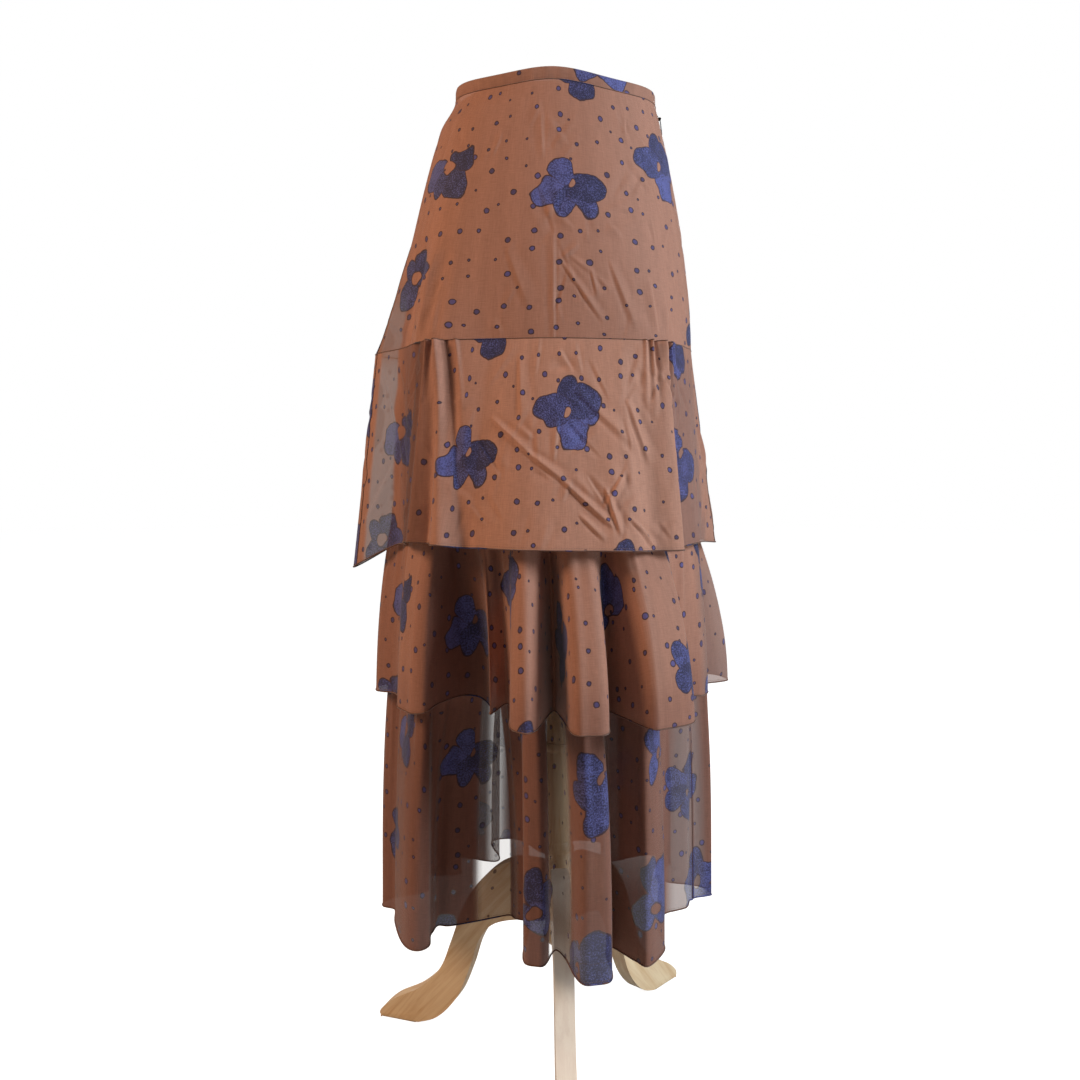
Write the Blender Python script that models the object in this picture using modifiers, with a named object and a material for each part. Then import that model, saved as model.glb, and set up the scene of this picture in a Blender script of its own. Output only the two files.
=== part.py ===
"""A three-tier ruffle skirt with a hip yoke, hung on a hip-length dress form that stands on a wooden tripod.

Metres, +Z up. The skirt's front faces -Y. Angles round the skirt are in degrees from the front, towards +X.
Every cloth layer is one ring of rows and columns, given a wall by Solidify, and cut into a front and a back
piece at the side seams by two half boxes.
"""

import math
from collections import namedtuple

import bmesh
import bpy
from mathutils import Matrix, Vector

# ---------------------------------------------------------------- driving sizes
POLE_X, POLE_Y = 0.0215, 0.0057  # the pole's place; it centres the footprint on the origin
AXIS_X, AXIS_Y = POLE_X - 0.0040, POLE_Y  # the form's and the cloth's own middle
WALL = 0.0014  # cloth wall
BAND_WALL = 0.0020  # waistband, two layers and its stiffening
SEAM_GAP = 0.0003  # between pieces that are sewn together
SEAM_DROP = 0.0008  # down from one piece's edge to the next: a leaning wall's inner edge hangs lower
WAIST_EASE = 0.0005  # between the form and the waistband

BAND_TOP_Z, BAND_BOTTOM_Z = 1.1750, 1.1600
WAIST_TILT = 0.0040  # the waist sits this much higher on the left, and lower on the right
WAIST_DIP = 0.0060  # and this much lower halfway from the middles to the sides
YOKE_SEAM_Z = 0.8570
FLOUNCE_1_HEM_Z = 0.6290
FLOUNCE_2_SEAM_Z, FLOUNCE_2_HEM_Z = 0.6650, 0.4410
FLOUNCE_3_SEAM_Z, FLOUNCE_3_HEM_Z = 0.5050, 0.1740
FLOUNCE_2_SPREAD, FLOUNCE_3_SPREAD = 1.9, 2.6  # over 1, a flounce opens out just under its seam, then hangs

ZIP_LENGTH, ZIP_TAPE_WIDTH, ZIP_TAPE_WALL = 0.1800, 0.0160, 0.0008
BAND_TAB_RISE, BAND_TAB_DEGREES = 0.0030, 9.0  # the band's back end stands up beside the zip

# ---------------------------------------------------------------- tables
# The form's level sections: half its width, and its depth to the front and to the back.
FormSection = namedtuple("FormSection", "z half_width front back")
FORM_SECTIONS = (
    FormSection(1.1620, 0.1150, 0.0830, 0.0870),
    FormSection(1.1580, 0.1205, 0.0885, 0.0925),
    FormSection(1.1500, 0.1220, 0.0900, 0.0940),
    FormSection(1.1300, 0.1230, 0.0905, 0.0960),
    FormSection(1.0800, 0.1340, 0.0970, 0.1100),
    FormSection(1.0000, 0.1460, 0.1060, 0.1260),
    FormSection(0.9300, 0.1520, 0.1110, 0.1330),
    FormSection(0.8600, 0.1530, 0.1110, 0.1310),
    FormSection(0.8050, 0.1470, 0.1070, 0.1210),
    FormSection(0.7950, 0.1400, 0.1000, 0.1140),
)

# Plain rings: half width, and depth to the front and back.
Ring = namedtuple("Ring", "half_width front back")
YOKE_RING = Ring(0.1665, 0.1340, 0.1560)
UNDERSKIRT_RING = Ring(0.1650, 0.1400, 0.1560)

# Where a ring swings out past its oval: how wide that is in degrees, and how far it goes on the yoke, as a
# flare from the waist down and as a corner at the seam, and at the upper underskirt's top and bottom.
Swing = namedtuple("Swing", "angle width flare corner base_top base_low")
SWINGS = (
    Swing(-96.0, 13.0, 0.0040, 0.0380, 0.0080, 0.0210),
    Swing(-80.0, 40.0, 0.0215, 0.0000, 0.0120, 0.0170),
    Swing(-52.0, 13.0, 0.0040, 0.0160, 0.0080, 0.0060),
    Swing(47.0, 16.0, 0.0000, 0.0080, 0.0020, 0.0020),
    Swing(140.0, 20.0, 0.0040, 0.0100, 0.0040, 0.0060),
    Swing(220.0, 20.0, 0.0040, 0.0100, 0.0040, 0.0060),
)
FLARE_POWER, CORNER_POWER = 0.4, 3.8

# Flounce 1: a row for each ridge and trough of its hem. drop is how far the hem hangs below its level.
Edge = namedtuple("Edge", "angle radius drop")
FLOUNCE_1_EDGES = (
    Edge(-118.0, 0.1980, -0.004),
    Edge(-96.0, 0.2560, 0.039),
    Edge(-72.0, 0.1920, 0.004),
    Edge(-56.0, 0.2130, -0.002),
    Edge(-46.0, 0.1900, -0.001),
    Edge(-38.0, 0.2000, 0.001),
    Edge(-29.0, 0.1860, 0.002),
    Edge(-8.0, 0.1900, 0.003),
    Edge(12.0, 0.1860, 0.004),
    Edge(28.0, 0.1920, 0.005),
    Edge(36.0, 0.1840, 0.006),
    Edge(44.0, 0.1940, 0.007),
    Edge(54.0, 0.1850, 0.008),
    Edge(66.0, 0.1760, 0.005),
    Edge(97.0, 0.2010, 0.006),
    Edge(118.0, 0.1880, 0.003),
    Edge(134.0, 0.2080, 0.003),
    Edge(148.0, 0.1940, 0.002),
    Edge(180.0, 0.2060, 0.002),
    Edge(212.0, 0.1940, 0.001),
    Edge(226.0, 0.2090, 0.001),
)

# The gathers that take flounce 1's fullness into the yoke seam.
Gather = namedtuple("Gather", "angle half_width pleats depth")
GATHERS = (
    Gather(-57.0, 6.5, 5, 0.0050),
    Gather(52.0, 6.5, 5, 0.0050),
    Gather(134.0, 7.0, 5, 0.0045),
    Gather(226.0, 7.0, 5, 0.0045),
)

# The folds of flounces 2 and 3: a crest, then the valley after it, each with the angle where it leaves the
# seam, and its angle, radius and rise at the hem. A fullness over 1 makes a fat crest and a narrow valley.
Fold = namedtuple("Fold", "seam crest reach rise valley_seam valley depth lift fullness")
FLOUNCE_2_FOLDS = (
    Fold(-90.0, -90.0, 0.2210, 0.002, -72.0, -74.0, 0.1940, 0.004, 1.4),
    Fold(-58.0, -54.0, 0.2060, 0.000, -47.0, -49.0, 0.1310, 0.012, 1.6),
    Fold(-34.0, -28.0, 0.1560, 0.002, -25.0, -23.0, 0.1360, 0.010, 1.2),
    Fold(-13.0, -8.0, 0.2190, 0.000, -3.0, 0.0, 0.1290, 0.003, 1.0),
    Fold(8.0, 9.0, 0.2270, 0.000, 20.0, 21.5, 0.1520, 0.006, 2.6),
    Fold(32.0, 30.0, 0.2290, 0.001, 55.0, 57.0, 0.1600, 0.010, 2.6),
    Fold(84.0, 80.0, 0.1860, 0.004, 92.0, 90.0, 0.1800, 0.005, 1.0),
    Fold(104.0, 106.0, 0.2270, 0.004, 120.0, 121.0, 0.1680, 0.008, 1.4),
    Fold(138.0, 139.0, 0.2260, 0.000, 152.0, 153.0, 0.1580, 0.010, 1.2),
    Fold(168.0, 168.0, 0.2360, 0.003, 183.0, 184.0, 0.1640, 0.008, 1.6),
    Fold(198.0, 200.0, 0.2360, 0.000, 212.0, 213.0, 0.1620, 0.010, 1.2),
    Fold(226.0, 227.0, 0.2280, 0.002, 239.0, 239.0, 0.1620, 0.008, 1.0),
    Fold(250.0, 250.0, 0.2180, 0.001, 260.0, 260.0, 0.1780, 0.006, 1.2),
)
FLOUNCE_3_FOLDS = (
    Fold(-92.0, -92.0, 0.2150, -0.002, -80.0, -84.0, 0.1960, 0.000, 1.2),
    Fold(-62.0, -56.0, 0.2020, -0.001, -50.0, -67.0, 0.1500, 0.000, 1.1),
    Fold(-40.0, -58.0, 0.0640, 0.002, -28.0, -24.0, 0.0760, 0.010, 1.0),
    Fold(-14.0, -7.0, 0.1570, 0.000, -3.0, 1.0, 0.1270, 0.004, 1.6),
    Fold(13.0, 12.5, 0.1970, -0.001, 24.0, 28.0, 0.1270, 0.002, 1.8),
    Fold(38.0, 33.5, 0.1840, 0.000, 62.0, 72.0, 0.1330, 0.004, 0.7),
    Fold(82.0, 92.0, 0.1660, 0.004, 92.0, 95.0, 0.1720, 0.003, 1.0),
    Fold(102.0, 99.0, 0.1990, 0.003, 120.0, 118.0, 0.1500, 0.006, 1.4),
    Fold(138.0, 137.0, 0.2150, 0.002, 152.0, 152.0, 0.1400, 0.008, 1.2),
    Fold(167.0, 168.0, 0.2280, 0.000, 183.0, 183.0, 0.1420, 0.010, 1.6),
    Fold(199.0, 200.0, 0.2360, 0.002, 212.0, 213.0, 0.1450, 0.008, 1.2),
    Fold(226.0, 226.0, 0.2200, 0.000, 239.0, 239.0, 0.1460, 0.009, 1.0),
    Fold(250.0, 250.0, 0.2080, 0.002, 258.0, 259.0, 0.1640, 0.005, 1.2),
)
SMALL_GATHER_DEPTH = 0.0040  # the fine gathers at the tops of flounces 2 and 3

# The lower seam, where flounce 3 hangs from the lower underskirt: it keeps inside flounce 2's valleys.
LOWER_SEAM_EDGES = (
    Edge(-90.0, 0.2020, 0.0),
    Edge(-73.0, 0.1640, 0.0),
    Edge(-59.0, 0.1700, 0.0),
    Edge(-46.0, 0.1140, 0.0),
    Edge(-24.0, 0.1120, 0.0),
    Edge(-12.0, 0.1300, 0.0),
    Edge(-1.0, 0.1140, 0.0),
    Edge(11.0, 0.1560, 0.0),
    Edge(21.0, 0.1360, 0.0),
    Edge(33.0, 0.1680, 0.0),
    Edge(57.0, 0.1420, 0.0),
    Edge(80.0, 0.1650, 0.0),
    Edge(92.0, 0.1600, 0.0),
    Edge(104.0, 0.1920, 0.0),
    Edge(120.0, 0.1500, 0.0),
    Edge(138.0, 0.1820, 0.0),
    Edge(152.0, 0.1420, 0.0),
    Edge(168.0, 0.1860, 0.0),
    Edge(183.0, 0.1440, 0.0),
    Edge(200.0, 0.1880, 0.0),
    Edge(212.0, 0.1440, 0.0),
    Edge(226.0, 0.1820, 0.0),
    Edge(239.0, 0.1460, 0.0),
    Edge(250.0, 0.1900, 0.0),
    Edge(260.0, 0.1640, 0.0),
)

# The tripod leg's outline: distance from the pole's axis, and height. The foot is flat on the floor.
LEG_OUTLINE = (
    (0.0167, 0.2260),
    (0.0600, 0.2240),
    (0.0930, 0.2030),
    (0.1210, 0.1650),
    (0.1400, 0.1140),
    (0.1560, 0.0760),
    (0.1860, 0.0460),
    (0.2220, 0.0260),
    (0.2420, 0.0070),
    (0.2380, 0.0000),
    (0.1920, 0.0000),
    (0.1600, 0.0130),
    (0.1330, 0.0420),
    (0.1160, 0.0800),
    (0.1030, 0.1180),
    (0.0840, 0.1420),
    (0.0520, 0.1530),
    (0.0167, 0.1560),
)
LEG_THICKNESS = 0.0220
LEG_ANGLES = {"front": 3.0, "right": 139.0, "left": -108.0}

# Turned profiles, top to bottom: radius and height.
POLE_PROFILE = ((0.0, 0.7947), (0.0146, 0.7947), (0.0146, 0.3763), (0.0, 0.3763))
COLUMN_PROFILE = (
    (0.0, 0.3760),
    (0.0160, 0.3760),
    (0.0170, 0.3740),
    (0.0170, 0.3690),
    (0.0156, 0.3660),
    (0.0156, 0.2560),
    (0.0170, 0.2530),
    (0.0192, 0.2470),
    (0.0192, 0.2430),
    (0.0170, 0.2370),
    (0.0164, 0.2340),
    (0.0164, 0.1480),
    (0.0190, 0.1420),
    (0.0175, 0.1340),
    (0.0105, 0.1270),
    (0.0, 0.1250),
)

# ---------------------------------------------------------------- how fine the rings are
FORM_COLUMNS = 48
YOKE_COLUMNS, YOKE_ROWS = 64, 5
BAND_COLUMNS, BAND_ROWS = 64, 1
FLOUNCE_1_ROWS, FLOUNCE_2_ROWS, FLOUNCE_3_ROWS = 5, 5, 6
UNDERSKIRT_COLUMNS, UNDERSKIRT_ROWS = 96, 2
STEPS_TO_VALLEY = 4  # columns from a crest to its valley
PLEAT_COLUMNS = 4
PLAIN_STEP_DEGREES = 6.5  # flounce 1's columns between gathers
MEANDER = 0.40  # how much steeper a fold's sides are than a cosine's
TURN_BACK = 60.0  # how far back from its valley a fold's next crest may lie, in degrees
TURNED_STEPS = 24
TAPE_STEPS = 8
FACET_ALLOWANCE = 0.0006  # between layers whose columns stand at different angles
NEST_ALLOWANCE = 0.0003  # between the lower underskirt's top and flounce 2's
TAPE_GAP = SEAM_GAP + FACET_ALLOWANCE


# ---------------------------------------------------------------- scene and materials
def clear_scene():
    for thing in list(bpy.data.objects):
        bpy.data.objects.remove(thing)


def new_collection(name):
    made = bpy.data.collections.new(name)
    bpy.context.scene.collection.children.link(made)
    return made


def material(name, colour, roughness, metallic=0.0):
    made = bpy.data.materials.new(name)
    made.use_nodes = True
    made.diffuse_color = (*colour, 1.0)
    shader = made.node_tree.nodes["Principled BSDF"]
    shader.inputs["Base Color"].default_value = (*colour, 1.0)
    shader.inputs["Roughness"].default_value = roughness
    shader.inputs["Metallic"].default_value = metallic
    return made


def add_object(name, data, collection, surface=None):
    thing = bpy.data.objects.new(name, data)
    collection.objects.link(thing)
    if surface:
        data.materials.append(surface)
    return thing


# ---------------------------------------------------------------- ring shapes
def eased(share):
    """0 to 1 with level ends."""
    return 0.5 - 0.5 * math.cos(math.pi * share)


def mix(a, b, share):
    return a + (b - a) * share


def turned(angle, low):
    """The same angle, from low up to a full turn past it."""
    return (angle - low) % 360.0 + low


def oval_radius(angle, half_width, front, back):
    """Radius of an oval whose front and back halves differ in depth."""
    side, ahead = math.sin(math.radians(angle)), math.cos(math.radians(angle))
    depth = front if ahead > 0 else back
    return 1.0 / math.hypot(side / half_width, ahead / depth)


def swung(angle, reach_of):
    """How far a ring lies outside its oval at an angle: each swing's reach, fading to its sides."""
    total = 0.0
    for swing in SWINGS:
        away = turned(angle - swing.angle, -180.0)
        total += reach_of(swing) * math.exp(-((away / swing.width) ** 2))
    return total


def yoke_seam_radius(angle):
    return yoke_radius(angle, 1.0)


def base_top_radius(angle):
    """The upper underskirt's top, inside the seam that it shares with flounce 1."""
    free = oval_radius(angle, *YOKE_RING) + swung(angle, lambda swing: swing.base_top)
    return min(free, yoke_seam_radius(angle)) - WALL - SEAM_GAP - FACET_ALLOWANCE


def base_low_radius(angle):
    """The seam where flounce 2 hangs from the upper underskirt."""
    return oval_radius(angle, *UNDERSKIRT_RING) + swung(angle, lambda swing: swing.base_low)


def form_oval(z):
    """The waist's or the form's half width and depths at height z, read between the sections."""
    z = min(z, FORM_SECTIONS[1].z)
    for above, below in zip(FORM_SECTIONS, FORM_SECTIONS[1:]):
        if above.z >= z >= below.z:
            share = (above.z - z) / (above.z - below.z)
            return [mix(above[i], below[i], share) for i in (1, 2, 3)]
    return list(FORM_SECTIONS[-1][1:])


def place(angle, radius, z):
    turn = math.radians(angle)
    return Vector((AXIS_X + radius * math.sin(turn), AXIS_Y - radius * math.cos(turn), z))


def between_edges(edges, angle, column):
    """A column of an Edge table, read at an angle with level tops and bottoms."""
    low = edges[0].angle
    angle = turned(angle, low)
    rows = list(edges) + [edges[0]._replace(angle=low + 360.0)]
    for first, second in zip(rows, rows[1:]):
        if first.angle <= angle <= second.angle:
            share = (angle - first.angle) / (second.angle - first.angle)
            return mix(getattr(first, column), getattr(second, column), eased(share))
    return getattr(rows[-1], column)


# ---------------------------------------------------------------- columns
Column = namedtuple("Column", "seam angle radius rise")


def fold_columns(folds):
    """A flounce's columns: where each leaves the seam, and its angle, radius and rise at the hem."""
    columns = []
    for fold, following in zip(folds, folds[1:] + folds[:1]):
        next_seam = turned(following.seam, fold.valley_seam)
        next_crest = turned(following.crest, fold.valley - TURN_BACK)
        for step in range(STEPS_TO_VALLEY):
            share = step / STEPS_TO_VALLEY
            fallen = eased(share) ** fold.fullness
            columns.append(
                Column(
                    mix(fold.seam, fold.valley_seam, share),
                    mix(fold.crest, fold.valley, steeper(share)),
                    mix(fold.reach, fold.depth, fallen),
                    mix(fold.rise, fold.lift, fallen),
                )
            )
        for step in range(STEPS_TO_VALLEY):
            share = step / STEPS_TO_VALLEY
            risen = 1.0 - eased(1.0 - share) ** following.fullness
            columns.append(
                Column(
                    mix(fold.valley_seam, next_seam, share),
                    mix(fold.valley, next_crest, steeper(share)),
                    mix(fold.depth, following.reach, risen),
                    mix(fold.lift, following.rise, risen),
                )
            )
    return columns


def steeper(share):
    return share + MEANDER * math.sin(2 * math.pi * share) / (2 * math.pi)


def gathered_angles():
    """Flounce 1's columns: close together in its gathers, wide apart between them."""
    angles = []
    ordered = sorted(GATHERS, key=lambda gather: gather.angle)
    for index, gather in enumerate(ordered):
        start, end = gather.angle - gather.half_width, gather.angle + gather.half_width
        count = gather.pleats * PLEAT_COLUMNS
        angles += [mix(start, end, step / count) for step in range(count)]
        following = ordered[(index + 1) % len(ordered)]
        stop = turned(following.angle - following.half_width, end)
        plain = round((stop - end) / PLAIN_STEP_DEGREES)
        angles += [mix(end, stop, step / plain) for step in range(plain)]
    return angles


def pleat_at(angle):
    """How far in a gather's pleat the cloth lies at the yoke seam."""
    for gather in GATHERS:
        away = turned(angle - gather.angle, -180.0)
        if abs(away) <= gather.half_width:
            share = (away + gather.half_width) / (2 * gather.half_width)
            return gather.depth * (0.5 - 0.5 * math.cos(2 * math.pi * gather.pleats * share))
    return 0.0


# ---------------------------------------------------------------- cloth layers, as rings of points
def yoke_points():
    """The yoke: it leaves the waistband, follows the hip, and swings out on its left side."""
    angles = [360.0 * (step + 0.5) / YOKE_COLUMNS for step in range(YOKE_COLUMNS)]
    return [[yoke_point(angle, row / YOKE_ROWS) for angle in angles] for row in range(YOKE_ROWS + 1)]


def yoke_point(angle, share, inset=0.0):
    level = mix(BAND_BOTTOM_Z - SEAM_GAP, YOKE_SEAM_Z, share)
    return place(angle, yoke_radius(angle, share) - inset, level + waist_rise(angle) * (1.0 - share))


def waist_rise(angle):
    turn = math.radians(angle)
    return -WAIST_TILT * math.sin(turn) - WAIST_DIP * math.sin(2 * turn) ** 2


def yoke_radius(angle, share):
    waist = oval_radius(angle, *form_oval(BAND_BOTTOM_Z + waist_rise(angle))) + WAIST_EASE + BAND_WALL
    hip = oval_radius(angle, *YOKE_RING)
    spread = 1.0 - (1.0 - share) ** 1.7
    flare, corner = share**FLARE_POWER, share**CORNER_POWER
    return mix(waist, hip, spread) + swung(angle, lambda swing: swing.flare * flare + swing.corner * corner)


def band_points():
    rows = []
    for row in range(BAND_ROWS + 1):
        level = mix(BAND_TOP_Z, BAND_BOTTOM_Z, row / BAND_ROWS)
        points = []
        for step in range(BAND_COLUMNS):
            angle = 360.0 * step / BAND_COLUMNS
            z = level + waist_rise(angle)
            waist = oval_radius(angle, *form_oval(z))
            past_zip = turned(angle - ZIP_ANGLE, 0.0)
            tab = BAND_TAB_RISE if row == 0 and past_zip <= BAND_TAB_DEGREES else 0.0
            points.append(place(angle, waist + WAIST_EASE + BAND_WALL, z + tab))
        rows.append(points)
    return rows


def flounce_1_points():
    rows = []
    for row in range(FLOUNCE_1_ROWS + 1):
        share = row / FLOUNCE_1_ROWS
        points = []
        for angle in gathered_angles():
            hem = FLOUNCE_1_HEM_Z - between_edges(FLOUNCE_1_EDGES, angle, "drop")
            z = mix(YOKE_SEAM_Z - SEAM_DROP, hem, share)
            seam = yoke_seam_radius(angle)
            reach = between_edges(FLOUNCE_1_EDGES, angle, "radius")
            pleat = pleat_at(angle) * (1.0 - share) ** 1.5
            points.append(place(angle, mix(seam, reach, share) + pleat, z))
        rows.append(points)
    return rows


def underskirt_upper_points():
    """From inside the yoke seam down to flounce 2's seam."""
    rows = []
    for row in range(UNDERSKIRT_ROWS + 1):
        share = row / UNDERSKIRT_ROWS
        gone = 1.0 - (1.0 - share) ** 2
        z = mix(YOKE_SEAM_Z - SEAM_DROP, FLOUNCE_2_SEAM_Z, share)
        rows.append([place(a, mix(base_top_radius(a), base_low_radius(a), gone), z) for a in base_angles()])
    return rows


def underskirt_lower_points():
    """From inside flounce 2's seam down to flounce 3's seam."""
    rows = []
    for row in range(UNDERSKIRT_ROWS + 1):
        share = row / UNDERSKIRT_ROWS
        gone = 1.0 - (1.0 - share) ** 1.6
        z = mix(FLOUNCE_2_SEAM_Z - SEAM_DROP, FLOUNCE_3_SEAM_Z, share)
        points = []
        for angle in base_angles():
            top = base_low_radius(angle) - WALL - SEAM_GAP - NEST_ALLOWANCE
            points.append(place(angle, mix(top, lower_seam_radius(angle), gone), z))
        rows.append(points)
    return rows


def base_angles():
    return [360.0 * (step + 0.5) / UNDERSKIRT_COLUMNS for step in range(UNDERSKIRT_COLUMNS)]


def lower_seam_radius(angle):
    return between_edges(LOWER_SEAM_EDGES, angle, "radius")


def flounce_2_points():
    span = (FLOUNCE_2_SEAM_Z, FLOUNCE_2_HEM_Z, FLOUNCE_2_ROWS, FLOUNCE_2_SPREAD)
    return folded_points(FLOUNCE_2_FOLDS, span, base_low_radius)


def flounce_3_points():
    span = (FLOUNCE_3_SEAM_Z, FLOUNCE_3_HEM_Z, FLOUNCE_3_ROWS, FLOUNCE_3_SPREAD)
    return folded_points(FLOUNCE_3_FOLDS, span, lower_seam_radius)


def folded_points(folds, span, seam_radius):
    """A gathered flounce: fine gathers at its seam run out into the big folds of its hem."""
    seam_z, hem_z, rows_down, spread = span
    columns = fold_columns(folds)
    rows = []
    for row in range(rows_down + 1):
        share = row / rows_down
        opened = 1.0 - (1.0 - share) ** spread
        points = []
        for index, column in enumerate(columns):
            gather = SMALL_GATHER_DEPTH * (index % 2) * (1.0 - share) ** 2
            top = place(column.seam, seam_radius(column.seam) + gather, seam_z - SEAM_DROP)
            low = place(column.angle, column.radius + gather, hem_z + column.rise)
            points.append(top.lerp(low, opened)[:2] + (mix(top.z, low.z, share),))
        rows.append(points)
    return rows


# ---------------------------------------------------------------- making solids
def ring_mesh(name, rows):
    """A closed band of faces through rings of points, top row first, facing out."""
    shape = bmesh.new()
    loops = [[shape.verts.new(point) for point in row] for row in rows]
    for upper, lower in zip(loops, loops[1:]):
        count = len(upper)
        for i in range(count):
            j = (i + 1) % count
            shape.faces.new((upper[i], lower[i], lower[j], upper[j]))
    data = bpy.data.meshes.new(name)
    shape.to_mesh(data)
    shape.free()
    data.shade_smooth()
    return data


def add_wall(thing, thickness):
    solidify = thing.modifiers.new("wall", "SOLIDIFY")
    solidify.thickness = thickness
    solidify.offset = -1.0


def add_boolean(thing, cutter, operation):
    cut = thing.modifiers.new(operation.lower(), "BOOLEAN")
    cut.operation = operation
    cut.object = cutter
    cut.solver = "EXACT"


def half_box(name, side, collection):
    """A box that holds everything on one side of the side seams' plane: side is -1 for the front."""
    reach = 0.4
    bpy.ops.mesh.primitive_cube_add(size=1.0)
    box = bpy.context.object
    box.name = name
    box.scale = (2 * reach, reach, 1.4)
    box.location = (AXIS_X, AXIS_Y + side * (reach + SEAM_GAP) / 2, 0.65)
    return as_cutter(box, collection)


def as_cutter(box, collection):
    for owner in list(box.users_collection):
        owner.objects.unlink(box)
    collection.objects.link(box)
    box.hide_render = True
    box.display_type = "WIRE"
    return box


def cloth_layer(name, rows, halves, surface, collection, thickness=WALL):
    """One ring of cloth as two objects, its front and its back."""
    data = ring_mesh(name, rows)
    data.materials.append(surface)
    for part, half in halves.items():
        panel = add_object(f"{name}_{part}", data, collection)
        add_wall(panel, thickness)
        add_boolean(panel, half, "INTERSECT")


def waistband(surface, cutters, collection):
    band = add_object("waistband", ring_mesh("waistband", band_points()), collection, surface)
    add_wall(band, BAND_WALL)
    bpy.ops.mesh.primitive_cube_add(size=1.0)
    slit = bpy.context.object
    slit.name = "zip_slit"
    slit.scale = (0.06, 2 * SEAM_GAP, 0.06)
    slit.location = (AXIS_X + FORM_SECTIONS[2].half_width, AXIS_Y, BAND_TOP_Z)
    add_boolean(band, as_cutter(slit, cutters), "DIFFERENCE")


def form_body(surface, collection):
    """The hip form: level ovals from the waist down, closed by a flat cap at each end."""
    shape = bmesh.new()
    loops = []
    for section in FORM_SECTIONS:
        ring = []
        for step in range(FORM_COLUMNS):
            angle = 360.0 * step / FORM_COLUMNS
            radius = oval_radius(angle, section.half_width, section.front, section.back)
            ring.append(shape.verts.new(place(angle, radius, section.z)))
        loops.append(ring)
    for upper, lower in zip(loops, loops[1:]):
        for i in range(FORM_COLUMNS):
            j = (i + 1) % FORM_COLUMNS
            shape.faces.new((upper[i], lower[i], lower[j], upper[j]))
    shape.faces.new(loops[0])
    shape.faces.new(list(reversed(loops[-1])))
    data = bpy.data.meshes.new("form_body")
    shape.to_mesh(data)
    shape.free()
    data.shade_smooth()
    data.set_sharp_from_angle(angle=math.radians(40))
    return add_object("form_body", data, collection, surface)


def turned_part(name, profile, surface, collection):
    """A turned piece of the stand: its profile, swept round the pole's axis."""
    shape = bmesh.new()
    corners = [shape.verts.new((radius, 0.0, z)) for radius, z in profile]
    for first, second in zip(corners, corners[1:]):
        shape.edges.new((first, second))
    data = bpy.data.meshes.new(name)
    shape.to_mesh(data)
    shape.free()
    piece = add_object(name, data, collection, surface)
    piece.location = (POLE_X, POLE_Y, 0.0)
    screw = piece.modifiers.new("turn", "SCREW")
    screw.steps = screw.render_steps = TURNED_STEPS
    screw.use_merge_vertices = True
    screw.merge_threshold = 0.00005
    screw.use_smooth_shade = True
    return piece


def leg(side, surface, collection):
    """A sawn leg: its outline as a flat curve, stood up and turned to its place round the column."""
    outline = bpy.data.curves.new(f"stand_leg_{side}", "CURVE")
    outline.dimensions = "2D"
    outline.fill_mode = "BOTH"
    outline.extrude = LEG_THICKNESS / 2
    outline.resolution_u = 3
    spline = outline.splines.new("BEZIER")
    spline.use_cyclic_u = True
    spline.bezier_points.add(len(LEG_OUTLINE) - 1)
    last = len(LEG_OUTLINE) - 1
    square_corners = (0, 9, 10, last)
    for index, (point, (reach, height)) in enumerate(zip(spline.bezier_points, LEG_OUTLINE)):
        point.co = (reach, height, 0.0)
        kind = "VECTOR" if index in square_corners else "AUTO"
        point.handle_left_type = point.handle_right_type = kind
    piece = add_object(f"stand_leg_{side}", outline, collection, surface)
    turn = math.radians(LEG_ANGLES[side] - 90.0)
    stand_up = Matrix.Rotation(math.radians(90.0), 4, "X")
    piece.matrix_world = Matrix.Translation((POLE_X, POLE_Y, 0.0)) @ Matrix.Rotation(turn, 4, "Z") @ stand_up
    return piece


# ---------------------------------------------------------------- the zip
ZIP_ANGLE = 90.0
HINGE_DOWN = 0.0110  # the slider's hinge bar, below the band
TAPE_DOWN = 0.0120  # the tape's top, below the band
PULL_LEAN = 7.0  # the pull's tip leans in to the cloth
SLIDER_WIDTH, SLIDER_LENGTH, SLIDER_WALL = 0.0056, 0.0080, 0.0010
BAR_RADIUS, BAR_LENGTH, BAR_OUT = 0.0006, 0.0052, 0.0034
EAR_LENGTH, EAR_WALL = 0.0026, 0.0010
KNUCKLE_RADIUS, KNUCKLE_BORE, KNUCKLE_LENGTH = 0.0015, 0.0009, 0.0022
TAB_LENGTH, TAB_NECK, TAB_WIDTH, TAB_WALL = 0.0205, 0.0020, 0.0050, 0.0008


def zip_frame():
    """The zip pull's hinge, place and turn: local X points out of the cloth, Z up along it, Y backwards."""
    high, low = yoke_point(ZIP_ANGLE, 0.0), yoke_point(ZIP_ANGLE, 0.1)
    along = (high - low).normalized()
    across = Vector((0.0, 1.0, 0.0))
    out = across.cross(along)
    turn = Matrix((out, across, along)).transposed().to_4x4()
    return Matrix.Translation(high - along * HINGE_DOWN + out * BAR_OUT) @ turn


def small_box(name, size, centre, frame, collection):
    bpy.ops.mesh.primitive_cube_add(size=1.0)
    box = bpy.context.object
    box.name = name
    box.matrix_world = frame @ Matrix.Translation(centre) @ Matrix.Diagonal((*size, 1.0))
    return as_cutter(box, collection)


def small_rod(name, radius, length, frame, collection):
    """A rod along the hinge's axis."""
    bpy.ops.mesh.primitive_cylinder_add(vertices=16, radius=radius, depth=length)
    rod = bpy.context.object
    rod.name = name
    rod.matrix_world = frame @ Matrix.Rotation(math.radians(90.0), 4, "X")
    return as_cutter(rod, collection)


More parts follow.
